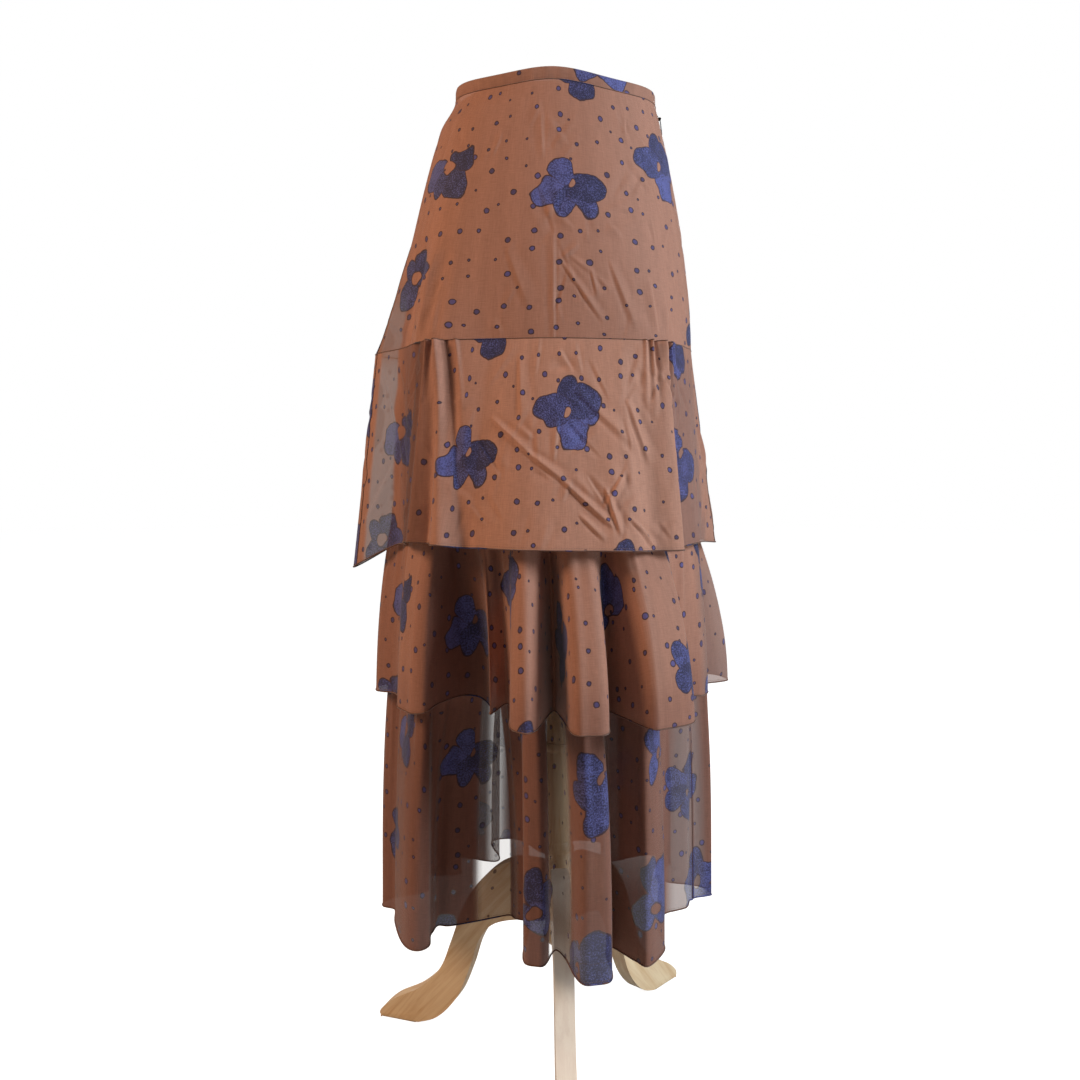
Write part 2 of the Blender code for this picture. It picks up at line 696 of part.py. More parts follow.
def box_mesh(name, size, centre):
    shape = bmesh.new()
    bmesh.ops.create_cube(shape, size=1.0)
    bmesh.ops.scale(shape, vec=size, verts=shape.verts)
    bmesh.ops.translate(shape, vec=centre, verts=shape.verts)
    data = bpy.data.meshes.new(name)
    shape.to_mesh(data)
    shape.free()
    return data


def zip_slider(surface, frame, cutters, collection):
    """A base plate off the cloth, two ears, and the bar that the pull swings on."""
    plate_x = SLIDER_WALL / 2 + SEAM_GAP - BAR_OUT
    plate = box_mesh("zip_slider", (SLIDER_WALL, SLIDER_WIDTH, SLIDER_LENGTH), (plate_x, 0.0, 0.0))
    slider = add_object("zip_slider", plate, collection, surface)
    slider.matrix_world = frame
    ear_reach = BAR_OUT - SEAM_GAP + BAR_RADIUS
    ear_y = (BAR_LENGTH - EAR_WALL) / 2
    for side in (-1, 1):
        centre = (BAR_RADIUS - ear_reach / 2, side * ear_y, 0.0)
        ear = small_box(f"slider_ear_{side}", (ear_reach, EAR_WALL, EAR_LENGTH), centre, frame, cutters)
        add_boolean(slider, ear, "UNION")
    bar = small_rod("slider_bar", BAR_RADIUS, BAR_LENGTH - EAR_WALL, frame, cutters)
    add_boolean(slider, bar, "UNION")
    return slider


def zip_pull(surface, frame, cutters, collection):
    """The pull: a knuckle round the bar, a narrow neck, and a tapered tab that hangs down the seam."""
    outline = (
        (TAB_NECK / 2, -0.0010),
        (TAB_NECK / 2, -0.0036),
        (TAB_WIDTH / 2, -0.0080),
        (TAB_WIDTH / 2, 0.0015 - TAB_LENGTH),
        (TAB_WIDTH / 2 - 0.0010, -TAB_LENGTH),
    )
    shape = bmesh.new()
    ring = [shape.verts.new((TAB_WALL / 2, -y, z)) for y, z in outline]
    ring += [shape.verts.new((TAB_WALL / 2, y, z)) for y, z in reversed(outline)]
    shape.faces.new(ring)
    data = bpy.data.meshes.new("zip_pull")
    shape.to_mesh(data)
    shape.free()
    pull = add_object("zip_pull", data, collection, surface)
    pull.matrix_world = frame @ Matrix.Rotation(math.radians(PULL_LEAN), 4, "Y")
    add_wall(pull, TAB_WALL)
    knuckle = small_rod("pull_knuckle", KNUCKLE_RADIUS, KNUCKLE_LENGTH, frame, cutters)
    bore = small_rod("pull_bore", KNUCKLE_BORE, 2 * KNUCKLE_LENGTH, frame, cutters)
    add_boolean(pull, knuckle, "UNION")
    add_boolean(pull, bore, "DIFFERENCE")
    return pull


def zip_tape(surface, collection):
    """The closed tapes behind the side seam: the yoke's points there, moved in."""
    drop = BAND_BOTTOM_Z - YOKE_SEAM_Z
    shape = bmesh.new()
    rows = []
    for step in range(TAPE_STEPS + 1):
        share = mix(TAPE_DOWN / drop, ZIP_LENGTH / drop, step / TAPE_STEPS)
        half = math.degrees(ZIP_TAPE_WIDTH / 2 / yoke_radius(ZIP_ANGLE, share))
        across = [yoke_point(ZIP_ANGLE + side * half, share, WALL + TAPE_GAP) for side in (-1, 0, 1)]
        rows.append([shape.verts.new(point) for point in across])
    for upper, lower in zip(rows, rows[1:]):
        for i in (0, 1):
            shape.faces.new((upper[i], lower[i], lower[i + 1], upper[i + 1]))
    data = bpy.data.meshes.new("zip_tape")
    shape.to_mesh(data)
    shape.free()
    tape = add_object("zip_tape", data, collection, surface)
    add_wall(tape, ZIP_TAPE_WALL)
    return tape


# ---------------------------------------------------------------- the whole
def main():
    clear_scene()
    parts = new_collection("tiered_ruffle_skirt")
    cutters = new_collection("cutters")

    georgette = material("printed_georgette", (0.36, 0.15, 0.09), 0.75)
    tape_cloth = material("zip_tape", (0.10, 0.06, 0.05), 0.85)
    zip_metal = material("zip_enamel", (0.09, 0.06, 0.05), 0.35, 0.6)
    jersey = material("form_jersey", (0.035, 0.033, 0.033), 0.90)
    wood = material("stand_wood", (0.55, 0.33, 0.17), 0.35)

    halves = {"front": half_box("front_half", -1, cutters), "back": half_box("back_half", 1, cutters)}

    waistband(georgette, cutters, parts)
    cloth_layer("yoke", yoke_points(), halves, georgette, parts)
    cloth_layer("flounce_1", flounce_1_points(), halves, georgette, parts)
    cloth_layer("underskirt_upper", underskirt_upper_points(), halves, georgette, parts)
    cloth_layer("flounce_2", flounce_2_points(), halves, georgette, parts)
    cloth_layer("underskirt_lower", underskirt_lower_points(), halves, georgette, parts)
    cloth_layer("flounce_3", flounce_3_points(), halves, georgette, parts)

    frame = zip_frame()
    zip_tape(tape_cloth, parts)
    zip_slider(zip_metal, frame, cutters, parts)
    zip_pull(zip_metal, frame, cutters, parts)

    form_body(jersey, parts)
    turned_part("stand_pole", POLE_PROFILE, wood, parts)
    turned_part("stand_column", COLUMN_PROFILE, wood, parts)
    for side in LEG_ANGLES:
        leg(side, wood, parts)
    print("zip hinge at", [round(x, 5) for x in frame.translation], "turn", frame.to_3x3().col[0])


main()
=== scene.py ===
"""A three-tier ruffle skirt of printed georgette on a hip form with a wooden tripod, dressed over its frame.

Metres, +Z up, and the skirt's front faces -Y. Angles round the skirt are in degrees from the front, towards
+X. Each cloth piece is a thin shell on its solid's form, a grid of rows from the seam down to the hem.
"""

import math
from collections import namedtuple
from functools import partial

import bmesh
import bpy
import numpy as np
from bpy.props import FloatProperty, FloatVectorProperty, PointerProperty
from mathutils import Matrix, Vector


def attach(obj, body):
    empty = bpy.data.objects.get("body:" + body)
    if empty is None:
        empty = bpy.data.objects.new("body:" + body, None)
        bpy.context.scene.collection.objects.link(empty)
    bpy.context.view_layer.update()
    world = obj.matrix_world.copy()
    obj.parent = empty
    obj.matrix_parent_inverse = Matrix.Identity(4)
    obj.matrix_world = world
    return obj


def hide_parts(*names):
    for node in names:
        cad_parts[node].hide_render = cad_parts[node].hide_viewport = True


bl_info = {
    "name": "Tiered ruffle skirt on a dress form",
    "version": (1, 0, 0),
    "blender": (4, 5, 0),
    "location": "3D View > Sidebar > Skirt",
    "description": "Cloth, zip, form, stand and stage of a tiered georgette skirt",
    "category": "Object",
}

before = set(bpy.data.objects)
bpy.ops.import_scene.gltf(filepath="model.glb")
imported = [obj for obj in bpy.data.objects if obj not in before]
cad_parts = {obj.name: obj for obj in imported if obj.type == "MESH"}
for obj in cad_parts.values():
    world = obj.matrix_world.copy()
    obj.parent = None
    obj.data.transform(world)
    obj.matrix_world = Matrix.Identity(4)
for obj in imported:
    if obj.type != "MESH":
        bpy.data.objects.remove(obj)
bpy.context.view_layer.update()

# ---------------------------------------------------------------- driving sizes, as in the solids
POLE_X, POLE_Y = 0.0215, 0.0057
AXIS_X, AXIS_Y = POLE_X - 0.0040, POLE_Y
BAND_WALL = 0.0020
WAIST_EASE = 0.0005
BAND_TOP_Z, BAND_BOTTOM_Z = 1.1750, 1.1600
WAIST_TILT, WAIST_DIP = 0.0040, 0.0060
YOKE_SEAM_Z = 0.8570
FLOUNCE_1_HEM_Z = 0.6290
FLOUNCE_2_SEAM_Z, FLOUNCE_2_HEM_Z = 0.6650, 0.4410
FLOUNCE_3_SEAM_Z, FLOUNCE_3_HEM_Z = 0.5050, 0.1740
FLOUNCE_2_SPREAD, FLOUNCE_3_SPREAD = 1.9, 2.6
ZIP_ANGLE, ZIP_LENGTH = 90.0, 0.1800
BAND_TAB_RISE, BAND_TAB_DEGREES = 0.0030, 9.0
LAYER_GAP, LAYER_DROP = 0.0025, 0.0010  # how far an underskirt's top lies inside and below the seam over it


def table(kind, *rows):
    """Rows of bare values as named ones."""
    return tuple(kind(*row) for row in rows)


FormSection = namedtuple("FormSection", "z half_width front back")
FORM_SECTIONS = table(
    FormSection,
    (1.162, 0.115, 0.083, 0.087), (1.158, 0.1205, 0.0885, 0.0925), (1.15, 0.122, 0.09, 0.094),
    (1.13, 0.123, 0.0905, 0.096), (1.08, 0.134, 0.097, 0.11), (1.0, 0.146, 0.106, 0.126),
    (0.93, 0.152, 0.111, 0.133), (0.86, 0.153, 0.111, 0.131), (0.805, 0.147, 0.107, 0.121),
    (0.795, 0.14, 0.1, 0.114),
)

Ring = namedtuple("Ring", "half_width front back")
YOKE_RING = Ring(0.1665, 0.1340, 0.1560)
UNDERSKIRT_RING = Ring(0.1650, 0.1400, 0.1560)

# Where a ring swings out past its oval: width in degrees, and reach on the yoke and on the upper underskirt.
Swing = namedtuple("Swing", "angle width flare corner base_top base_low")
SWINGS = table(
    Swing,
    (-96.0, 13.0, 0.004, 0.038, 0.008, 0.021), (-80.0, 40.0, 0.0215, 0.0, 0.012, 0.017),
    (-52.0, 13.0, 0.004, 0.016, 0.008, 0.006), (47.0, 16.0, 0.0, 0.008, 0.002, 0.002),
    (140.0, 20.0, 0.004, 0.01, 0.004, 0.006), (220.0, 20.0, 0.004, 0.01, 0.004, 0.006),
)
FLARE_POWER, CORNER_POWER = 0.4, 3.8

# A hem or seam line: its ridges and troughs, each with its radius and how far it hangs below the level.
Edge = namedtuple("Edge", "angle radius drop", defaults=(0.0,))
FLOUNCE_1_EDGES = table(
    Edge,
    (-118.0, 0.198, -0.004), (-96.0, 0.256, 0.039), (-72.0, 0.192, 0.004), (-54.0, 0.205, -0.002),
    (-46.0, 0.19, -0.001), (-38.0, 0.2, 0.001), (-29.0, 0.186, 0.002), (-8.0, 0.19, 0.003),
    (12.0, 0.186, 0.004), (28.0, 0.192, 0.005), (36.0, 0.184, 0.006), (45.0, 0.19, 0.007),
    (56.0, 0.167, 0.006), (74.0, 0.18, 0.002), (97.0, 0.201, 0.006), (118.0, 0.188, 0.003),
    (134.0, 0.208, 0.003), (148.0, 0.194, 0.002), (180.0, 0.206, 0.002), (212.0, 0.194, 0.001),
    (226.0, 0.209, 0.001), (259.0, 0.2515, 0.006),
)
LOWER_SEAM_EDGES = table(
    Edge,
    (-90.0, 0.202), (-73.0, 0.164), (-59.0, 0.17), (-46.0, 0.114), (-24.0, 0.112), (-12.0, 0.13),
    (-1.0, 0.114), (11.0, 0.156), (21.0, 0.136), (33.0, 0.168), (57.0, 0.142), (80.0, 0.165),
    (92.0, 0.16), (104.0, 0.192), (120.0, 0.15), (138.0, 0.182), (152.0, 0.142), (168.0, 0.186),
    (183.0, 0.144), (200.0, 0.188), (212.0, 0.144), (226.0, 0.182), (239.0, 0.146), (250.0, 0.19),
    (260.0, 0.164),
)

# The big folds: a crest and the valley after it, each with its angle at the seam, and its place at the hem.
Fold = namedtuple("Fold", "seam crest reach rise valley_seam valley depth lift fullness")
FLOUNCE_2_FOLDS = table(
    Fold,
    (-90.0, -90.0, 0.221, 0.002, -72.0, -74.0, 0.194, 0.004, 1.4),
    (-58.0, -54.0, 0.206, 0.0, -47.0, -49.0, 0.131, 0.012, 1.6),
    (-34.0, -28.0, 0.156, 0.002, -25.0, -23.0, 0.136, 0.01, 1.2),
    (-13.0, -8.0, 0.219, 0.0, -3.0, 0.0, 0.129, 0.003, 1.0),
    (8.0, 9.0, 0.227, 0.0, 20.0, 21.5, 0.152, 0.006, 2.6),
    (32.0, 30.0, 0.229, 0.001, 55.0, 57.0, 0.16, 0.01, 2.6),
    (84.0, 80.0, 0.186, 0.004, 92.0, 90.0, 0.18, 0.005, 1.0),
    (104.0, 106.0, 0.227, 0.004, 120.0, 121.0, 0.168, 0.008, 1.4),
    (138.0, 139.0, 0.226, 0.0, 152.0, 153.0, 0.158, 0.01, 1.2),
    (168.0, 168.0, 0.236, 0.003, 183.0, 184.0, 0.164, 0.008, 1.6),
    (198.0, 200.0, 0.236, 0.0, 212.0, 213.0, 0.162, 0.01, 1.2),
    (226.0, 227.0, 0.228, 0.002, 239.0, 239.0, 0.162, 0.008, 1.0),
    (250.0, 250.0, 0.218, 0.001, 260.0, 260.0, 0.178, 0.006, 1.2),
)
FLOUNCE_3_FOLDS = table(
    Fold,
    (-92.0, -92.0, 0.215, -0.002, -80.0, -84.0, 0.196, 0.0, 1.2),
    (-62.0, -56.0, 0.202, -0.001, -50.0, -67.0, 0.15, 0.0, 1.1),
    (-40.0, -58.0, 0.064, 0.002, -28.0, -24.0, 0.076, 0.01, 1.0),
    (-14.0, -7.0, 0.157, 0.0, -3.0, 1.0, 0.127, 0.004, 1.6),
    (13.0, 12.5, 0.197, -0.001, 24.0, 28.0, 0.127, 0.002, 1.8),
    (38.0, 33.5, 0.184, 0.0, 62.0, 72.0, 0.133, 0.004, 0.7),
    (82.0, 92.0, 0.166, 0.004, 92.0, 95.0, 0.172, 0.003, 1.0),
    (102.0, 99.0, 0.199, 0.003, 120.0, 118.0, 0.15, 0.006, 1.4),
    (138.0, 137.0, 0.215, 0.002, 152.0, 152.0, 0.14, 0.008, 1.2),
    (167.0, 168.0, 0.228, 0.0, 183.0, 183.0, 0.142, 0.01, 1.6),
    (199.0, 200.0, 0.236, 0.002, 212.0, 213.0, 0.145, 0.008, 1.2),
    (226.0, 226.0, 0.22, 0.0, 239.0, 239.0, 0.146, 0.009, 1.0),
    (250.0, 250.0, 0.208, 0.002, 258.0, 259.0, 0.164, 0.005, 1.2),
)
TURN_BACK = 60.0  # a crest may lie this many degrees back over the valley before it
STEPS_TO_VALLEY = 4
MEANDER = 0.40  # how much faster than evenly a fold's hem goes round near its crests and valleys
# Columns of the lowest flounce whose hem is rounder than the plain rule gives it: angle and radius.
FLOUNCE_3_ROUNDED = {
    6: (-62.2, 0.2005), 7: (-55.0, 0.2013), 8: (-51.7, 0.1937), 9: (-52.7, 0.179),
    10: (-59.2, 0.1677), 11: (-62.7, 0.16),
}
# The same for the middle flounce: its crest at the left is broad, and the fold beside it deep.
FLOUNCE_2_ROUNDED = {
    9: (-49.8, 0.207), 10: (-45.2, 0.201), 11: (-46.6, 0.179), 12: (-48.6, 0.144),
    13: (-46.5, 0.126), 14: (-41.0, 0.122), 15: (-33.0, 0.133), 16: (-27.0, 0.157),
}
FOLDED_COLUMNS = 2 * STEPS_TO_VALLEY * len(FLOUNCE_2_FOLDS)  # as many on the lowest flounce
POINTS_A_COLUMN = 7

# How finely the plain layers are drawn, round and down, and the folded ones, down.
COLUMNS, PLAIN_ROWS = 900, 120
UNDERSKIRT_STEPS = (480, 24)
FLOUNCE_2_ROWS, FLOUNCE_3_ROWS = 56, 72

# ---------------------------------------------------------------- creases and fine gathers
# A fan ridge runs down flounce 1 from a gather: its angles and half widths at the seam and at the hem, how
# far it stands out there, how far down it reaches, and how much of its width its left and right sides keep.
FAN_COLUMNS = "top_angle low_angle top_width low_width top_height low_height length left right"
Fan = namedtuple("Fan", FAN_COLUMNS, defaults=(1.0, 1.0))
FLOUNCE_1_FANS = table(
    Fan,
    (-50.6, -51.5, 2.4, 8.0, 0.0085, 0.01, 1.0, 0.22, 1.0),
    (-58.0, -66.0, 3.0, 5.0, -0.004, -0.005, 1.0),
    (-49.6, -49.0, 0.6, 1.6, -0.0045, -0.001, 0.32),
    (-49.2, -46.0, 0.6, 1.6, -0.004, -0.0008, 0.3),
    (-47.6, -37.8, 1.3, 4.6, 0.0085, 0.01, 1.0, 1.0, 0.45),
    (-45.0, -31.5, 0.9, 3.2, -0.004, -0.005, 1.0, 0.6, 1.0),
    (-42.0, -27.0, 0.6, 1.6, 0.003, 0.001, 0.35),
    (41.5, 34.0, 0.7, 2.2, 0.003, 0.001, 0.4),
    (44.2, 39.0, 0.7, 2.0, 0.0055, 0.001, 0.38),
    (46.2, 41.5, 0.6, 1.6, -0.0035, -0.001, 0.34),
    (50.6, 45.8, 2.2, 7.5, 0.008, 0.0075, 1.0, 1.0, 0.2),
    (52.6, 52.0, 0.7, 1.8, -0.004, -0.002, 0.9),
    (54.4, 60.0, 0.8, 3.0, 0.0065, 0.001, 0.55),
    (57.0, 69.0, 0.8, 2.8, 0.0035, 0.001, 0.45),
    (127.5, 120.0, 1.1, 3.4, 0.006, 0.0035, 0.9),
    (130.4, 127.0, 0.9, 3.0, 0.008, 0.008, 1.0),
    (132.6, 132.0, 0.7, 1.6, -0.0045, -0.0025, 0.8),
    (134.8, 137.0, 0.9, 2.4, 0.007, 0.003, 0.8),
    (137.9, 143.0, 0.9, 3.0, 0.008, 0.007, 1.0),
    (140.8, 151.0, 0.8, 2.4, 0.004, 0.001, 0.5),
    (219.2, 210.0, 0.9, 2.6, 0.005, 0.0015, 0.6),
    (222.2, 217.0, 0.9, 2.8, 0.008, 0.007, 1.0),
    (224.4, 222.0, 0.7, 1.6, -0.0045, -0.0025, 0.9),
    (226.6, 227.5, 0.8, 2.4, 0.007, 0.004, 0.8),
    (229.6, 234.0, 1.0, 3.4, 0.008, 0.008, 1.0),
    (232.6, 242.0, 0.9, 2.6, 0.0045, 0.0015, 0.6),
)

# A crease runs between two places, as angle and height. It stands out by rise, and width is its half width.
Crease = namedtuple("Crease", "angle_a z_a angle_b z_b width rise")
YOKE_CREASES = table(
    Crease,
    (-57.0, 0.855, -55.0, 0.965, 0.0075, 0.0048), (-70.0, 0.85, -66.0, 0.985, 0.015, -0.007),
    (-50.0, 0.862, -51.0, 0.915, 0.0037, 0.0012), (-0.5, 0.845, -0.8, 0.985, 0.0026, 0.0011),
    (1.5, 0.948, 23.5, 0.874, 0.0022, 0.0019), (2.0, 0.943, 12.5, 0.962, 0.0022, 0.0013),
    (6.5, 0.95, 19.0, 0.929, 0.002, 0.0012), (17.5, 0.934, 20.5, 0.905, 0.002, 0.0013),
    (18.0, 0.931, 27.0, 0.911, 0.002, 0.0009), (9.0, 0.925, 14.0, 0.9, 0.0022, -0.0008),
    (-24.0, 0.96, -12.0, 0.89, 0.0045, 0.0011), (27.0, 0.945, 38.0, 0.868, 0.0037, 0.0017),
    (48.0, 0.863, 46.0, 0.93, 0.0034, 0.0017), (54.0, 0.863, 55.0, 0.905, 0.003, 0.0013),
    (-90.0, 0.9, -70.0, 0.868, 0.0053, 0.0019), (120.0, 0.99, 150.0, 0.915, 0.0053, 0.0017),
    (131.0, 0.862, 130.0, 0.93, 0.0041, 0.0017), (139.0, 0.862, 141.0, 0.91, 0.0037, 0.0013),
    (168.0, 0.9, 188.0, 0.965, 0.0034, 0.0021), (176.0, 1.02, 190.0, 0.925, 0.0037, 0.0017),
    (192.0, 0.985, 216.0, 0.905, 0.0037, 0.0019), (224.0, 0.862, 222.0, 0.94, 0.0041, 0.0018),
    (232.0, 0.862, 234.0, 0.905, 0.0034, 0.0013), (245.0, 1.01, 262.0, 0.9, 0.006, 0.0019),
)
FLOUNCE_1_CREASES = table(
    Crease,
    (-26.0, 0.768, -9.0, 0.728, 0.0024, 0.0026), (-12.0, 0.733, 4.0, 0.698, 0.0023, 0.003),
    (-31.0, 0.748, -19.0, 0.704, 0.0023, -0.0018), (1.0, 0.704, 20.5, 0.648, 0.0022, 0.0036),
    (18.0, 0.692, 22.5, 0.64, 0.0021, 0.0034), (27.0, 0.715, 17.0, 0.668, 0.0021, 0.0026),
    (8.0, 0.664, 17.0, 0.636, 0.002, 0.0024), (25.5, 0.66, 36.0, 0.626, 0.0022, 0.003),
    (12.0, 0.705, 19.0, 0.672, 0.0021, -0.0018), (8.0, 0.8, 34.0, 0.73, 0.0045, 0.0019),
    (30.0, 0.79, 38.0, 0.715, 0.0034, 0.0025), (-16.0, 0.84, -13.0, 0.76, 0.0037, 0.0015),
    (-84.0, 0.83, -70.0, 0.72, 0.0053, 0.003), (-78.0, 0.72, -88.0, 0.64, 0.0045, 0.0027),
    (78.0, 0.79, 92.0, 0.7, 0.0045, 0.0025), (86.0, 0.69, 76.0, 0.63, 0.0037, 0.003),
    (158.0, 0.78, 176.0, 0.702, 0.0034, 0.0037), (175.0, 0.706, 192.0, 0.652, 0.0029, 0.0042),
    (202.0, 0.724, 190.0, 0.655, 0.0029, 0.0037), (184.0, 0.68, 186.0, 0.64, 0.0024, 0.0033),
    (196.0, 0.8, 206.0, 0.74, 0.0037, 0.0023), (108.0, 0.81, 116.0, 0.7, 0.0045, 0.0027),
    (252.0, 0.8, 243.0, 0.69, 0.0045, 0.0027),
)

# Where a layer is stretched thin: its middle and half width, as an angle on a plain layer and as a column of
# the folds on a gathered one, the heights that it lies between, how thin it is, below 0 for denser, and where
# in its half width it starts to fade.
Thin = namedtuple("Thin", "middle width low high amount sharp", defaults=(0.80,))
THIN_PLACES = {
    "yoke": table(
        Thin,
        (-83.0, 7.0, 0.857, 0.93, 0.7), (260.0, 8.0, 0.857, 0.93, 0.7),
        (214.0, 16.0, 0.857, 0.93, 0.3),
    ),
    "flounce_1": table(
        Thin,
        (-82.4, 4.7, 0.58, 0.862, 0.95), (258.5, 6.0, 0.58, 0.862, 0.9),
        (-65.0, 13.0, 0.56, 0.87, -0.11), (66.0, 14.0, 0.6, 0.85, 0.3),
        (102.0, 12.0, 0.6, 0.8, 0.3), (240.0, 20.0, 0.6, 0.85, 0.4),
    ),
    "flounce_2": table(
        Thin,
        (52.0, 5.0, 0.43, 0.6, 0.5), (77.0, 1.5, 0.43, 0.6, 0.6),
    ),
    "flounce_3": table(
        Thin,
        (11.6, 2.3, 0.16, 0.49, -0.09), (20.0, 30.0, 0.16, 0.27, -0.08),
        (80.0, 28.0, 0.16, 0.27, -0.05), (15.1, 1.05, 0.16, 0.49, 1.8),
        (28.0, 1.7, 0.16, 0.47, 2.4), (49.5, 4.5, 0.16, 0.46, 0.6),
        (82.3, 2.6, 0.16, 0.48, 1.05), (59.2, 3.0, 0.16, 0.45, 0.6),
        (68.0, 1.2, 0.16, 0.45, 0.5), (92.0, 1.4, 0.16, 0.45, 0.5),
    ),
}

# Where shade is painted into a layer's colour to make it darker, or light is painted in, below 0, to make it
# lighter, in the same terms.
PAINTED_SHADE_PLACES = {
    "yoke": table(
        Thin,
        (-80.0, 7.0, 0.85, 0.92, 0.5),
    ),
    "flounce_1": table(
        Thin,
        (-64.0, 12.5, 0.54, 0.9, 1.05, 0.25), (-56.5, 6.0, 0.54, 0.9, 1.5, 0.3),
        (66.0, 13.0, 0.6, 0.85, 0.5, 0.5), (8.0, 46.0, 0.56, 0.9, -0.4, 0.6),
    ),
    "flounce_2": table(
        Thin,
        (52.0, 60.0, 0.4, 0.48, 0.4), (2.0, 3.0, 0.4, 0.64, 0.5),
        (13.0, 3.4, 0.4, 0.67, 1.25, 0.35),
    ),
    "flounce_3": table(
        Thin,
        (52.0, 60.0, 0.1, 0.455, 1.0),
    ),
}

# Slight creases all over a layer: how many, how high, and between which heights.
Crumple = namedtuple("Crumple", "seed count rise low high")
YOKE_CRUMPLE = Crumple(5, 120, 0.0010, 0.87, 1.12)
FLOUNCE_1_CRUMPLE = Crumple(6, 150, 0.0015, 0.64, 0.84)
YOKE_MEAN_RADIUS, FLOUNCE_1_MEAN_RADIUS = 0.150, 0.170  # what turns a crease's angles into lengths

# Fine gathers at a flounce's seam: how far apart, how high, and how far down, from a seeded draw.
Gathering = namedtuple("Gathering", "seed spacing height shortest longest")
FLOUNCE_2_GATHERING = Gathering(11, 0.0095, 0.0052, 0.15, 1.00)
FLOUNCE_3_GATHERING = Gathering(23, 0.0105, 0.0050, 0.20, 1.00)

# ---------------------------------------------------------------- the stand's outlines
LEG_OUTLINE = (
    (0.0167, 0.226), (0.06, 0.224), (0.093, 0.203), (0.121, 0.165), (0.14, 0.114), (0.156, 0.076),
    (0.186, 0.046), (0.222, 0.026), (0.242, 0.007), (0.238, 0.0), (0.192, 0.0), (0.16, 0.013),
    (0.133, 0.042), (0.116, 0.08), (0.103, 0.118), (0.084, 0.142), (0.052, 0.153), (0.0167, 0.156),
)
LEG_SQUARE_CORNERS = (0, 9, 10, 17)
LEG_THICKNESS, LEG_SLOPE = 0.0220, 42.0
LEG_ANGLES = {"front": 3.0, "right": 139.0, "left": -108.0}
POLE_MEAN_RADIUS = 0.016
POLE_PROFILE = ((0.0, 0.7947), (0.0146, 0.7947), (0.0146, 0.3763), (0.0, 0.3763))
COLUMN_PROFILE = (
    (0.0, 0.376), (0.016, 0.376), (0.017, 0.374), (0.017, 0.369), (0.0156, 0.366), (0.0156, 0.256),
    (0.017, 0.253), (0.0192, 0.247), (0.0192, 0.243), (0.017, 0.237), (0.0164, 0.234), (0.0164, 0.148),
    (0.019, 0.142), (0.0175, 0.134), (0.0105, 0.127), (0.0, 0.125),
)


# ---------------------------------------------------------------- settings that a user would change
Tint = partial(FloatVectorProperty, subtype="COLOR", size=3, min=0.0, max=1.0)
Share = partial(FloatProperty, subtype="FACTOR", min=0.0, max=1.0)
Length = partial(FloatProperty, subtype="DISTANCE", unit="LENGTH")
Power = partial(FloatProperty, subtype="POWER", unit="POWER", min=0.0, max=1000.0)


class SkirtClothSettings(bpy.types.PropertyGroup):
    """Colours and scale of the printed georgette."""

    ground: Tint(name="Ground", description="Colour of the plain cloth", default=(0.365, 0.166, 0.112))
    veil: Tint(name="Veil", description="Colour of the cloth where it is thin", default=(0.215, 0.165, 0.160))
    rim: Tint(name="Motif rim", description="Outline of the dots and flowers", default=(0.055, 0.026, 0.032))
    dot: Tint(name="Dot centre", description="Colour inside the larger dots", default=(0.105, 0.082, 0.235))
    petal: Tint(name="Petal", description="Lighter blue of the flowers", default=(0.115, 0.120, 0.345))
    petal_dark: Tint(name="Petal blots", description="Dark blots in a flower", default=(0.026, 0.022, 0.062))
    cover: Share(name="Cover", description="How much of the view one plain layer hides", default=0.965)
    sheer_cover: Share(name="Sheer cover", description="How much it hides where it is thin", default=0.66)
    print_cover: Share(name="Print cover", description="How much a printed place hides", default=0.97)
    # painted shade: how bright the cloth is kept where a full amount of shade is painted into it
    single: Share(name="Single layer", description="How bright it is with nothing behind it", default=0.58)
    shade: Share(name="Shade", description="How much light one layer keeps from what it covers", default=0.86)
    dot_spacing: Length(
        name="Dot spacing", description="Mean distance between dots", default=0.0280, min=0.005, max=0.2
    )
    flower_spacing: Length(
        name="Flower spacing", description="Width of the half-drop repeat", default=0.165, min=0.05, max=1.0
    )
    hem_width: Length(
        name="Rolled hem", description="Thickness of the rolled hems", default=0.0018, min=0.0005, max=0.01
    )


class SkirtStandSettings(bpy.types.PropertyGroup):
    """Colours of the form and its stand."""

    wood: Tint(name="Wood", description="Lighter colour of the wood", default=(0.880, 0.660, 0.420))
    wood_dark: Tint(name="Wood grain", description="Darker colour of grain", default=(0.640, 0.370, 0.165))
    jersey: Tint(name="Jersey", description="Colour of the form's cover", default=(0.030, 0.028, 0.028))
    edge_round: Length(
        name="Leg edges", description="Rounding of the legs' edges", default=0.0035, min=0.0, max=0.01
    )


class SkirtStageSettings(bpy.types.PropertyGroup):
    """Floor and light."""

    floor: Tint(name="Floor", description="Colour of the floor", default=(0.46, 0.45, 0.44))
    floor_glow: FloatProperty(
        name="Floor glow", description="How pale the floor looks in view", default=0.96, min=0.0, max=2.0
    )
    window: Power(name="Window light", description="Power of the cool light at the right", default=66.0)
    warm: Power(name="Warm light", description="Power of the warm light at the left", default=44.0)
    rear: Power(name="Rear light", description="Power of the light behind", default=34.0)
    sky: FloatProperty(
        name="Sky", description="Strength of the pale surroundings", default=0.09, min=0.0, max=10.0
    )


# ---------------------------------------------------------------- number work
def eased(share):
    """0 to 1 with level ends."""
    return 0.5 - 0.5 * np.cos(np.pi * np.asarray(share, float))


def steeper(share):
    """0 to 1, faster near its ends."""
    return share + MEANDER * math.sin(2 * math.pi * share) / (2 * math.pi)


def mix(a, b, share):
    return a + (b - a) * share


def turned(angle, low):
    """The same angle, from low up to a full turn past it."""
    return (angle - low) % 360.0 + low


def smooth_step(low, high, value):
    share = np.clip((value - low) / (high - low), 0.0, 1.0)
    return share * share * (3.0 - 2.0 * share)


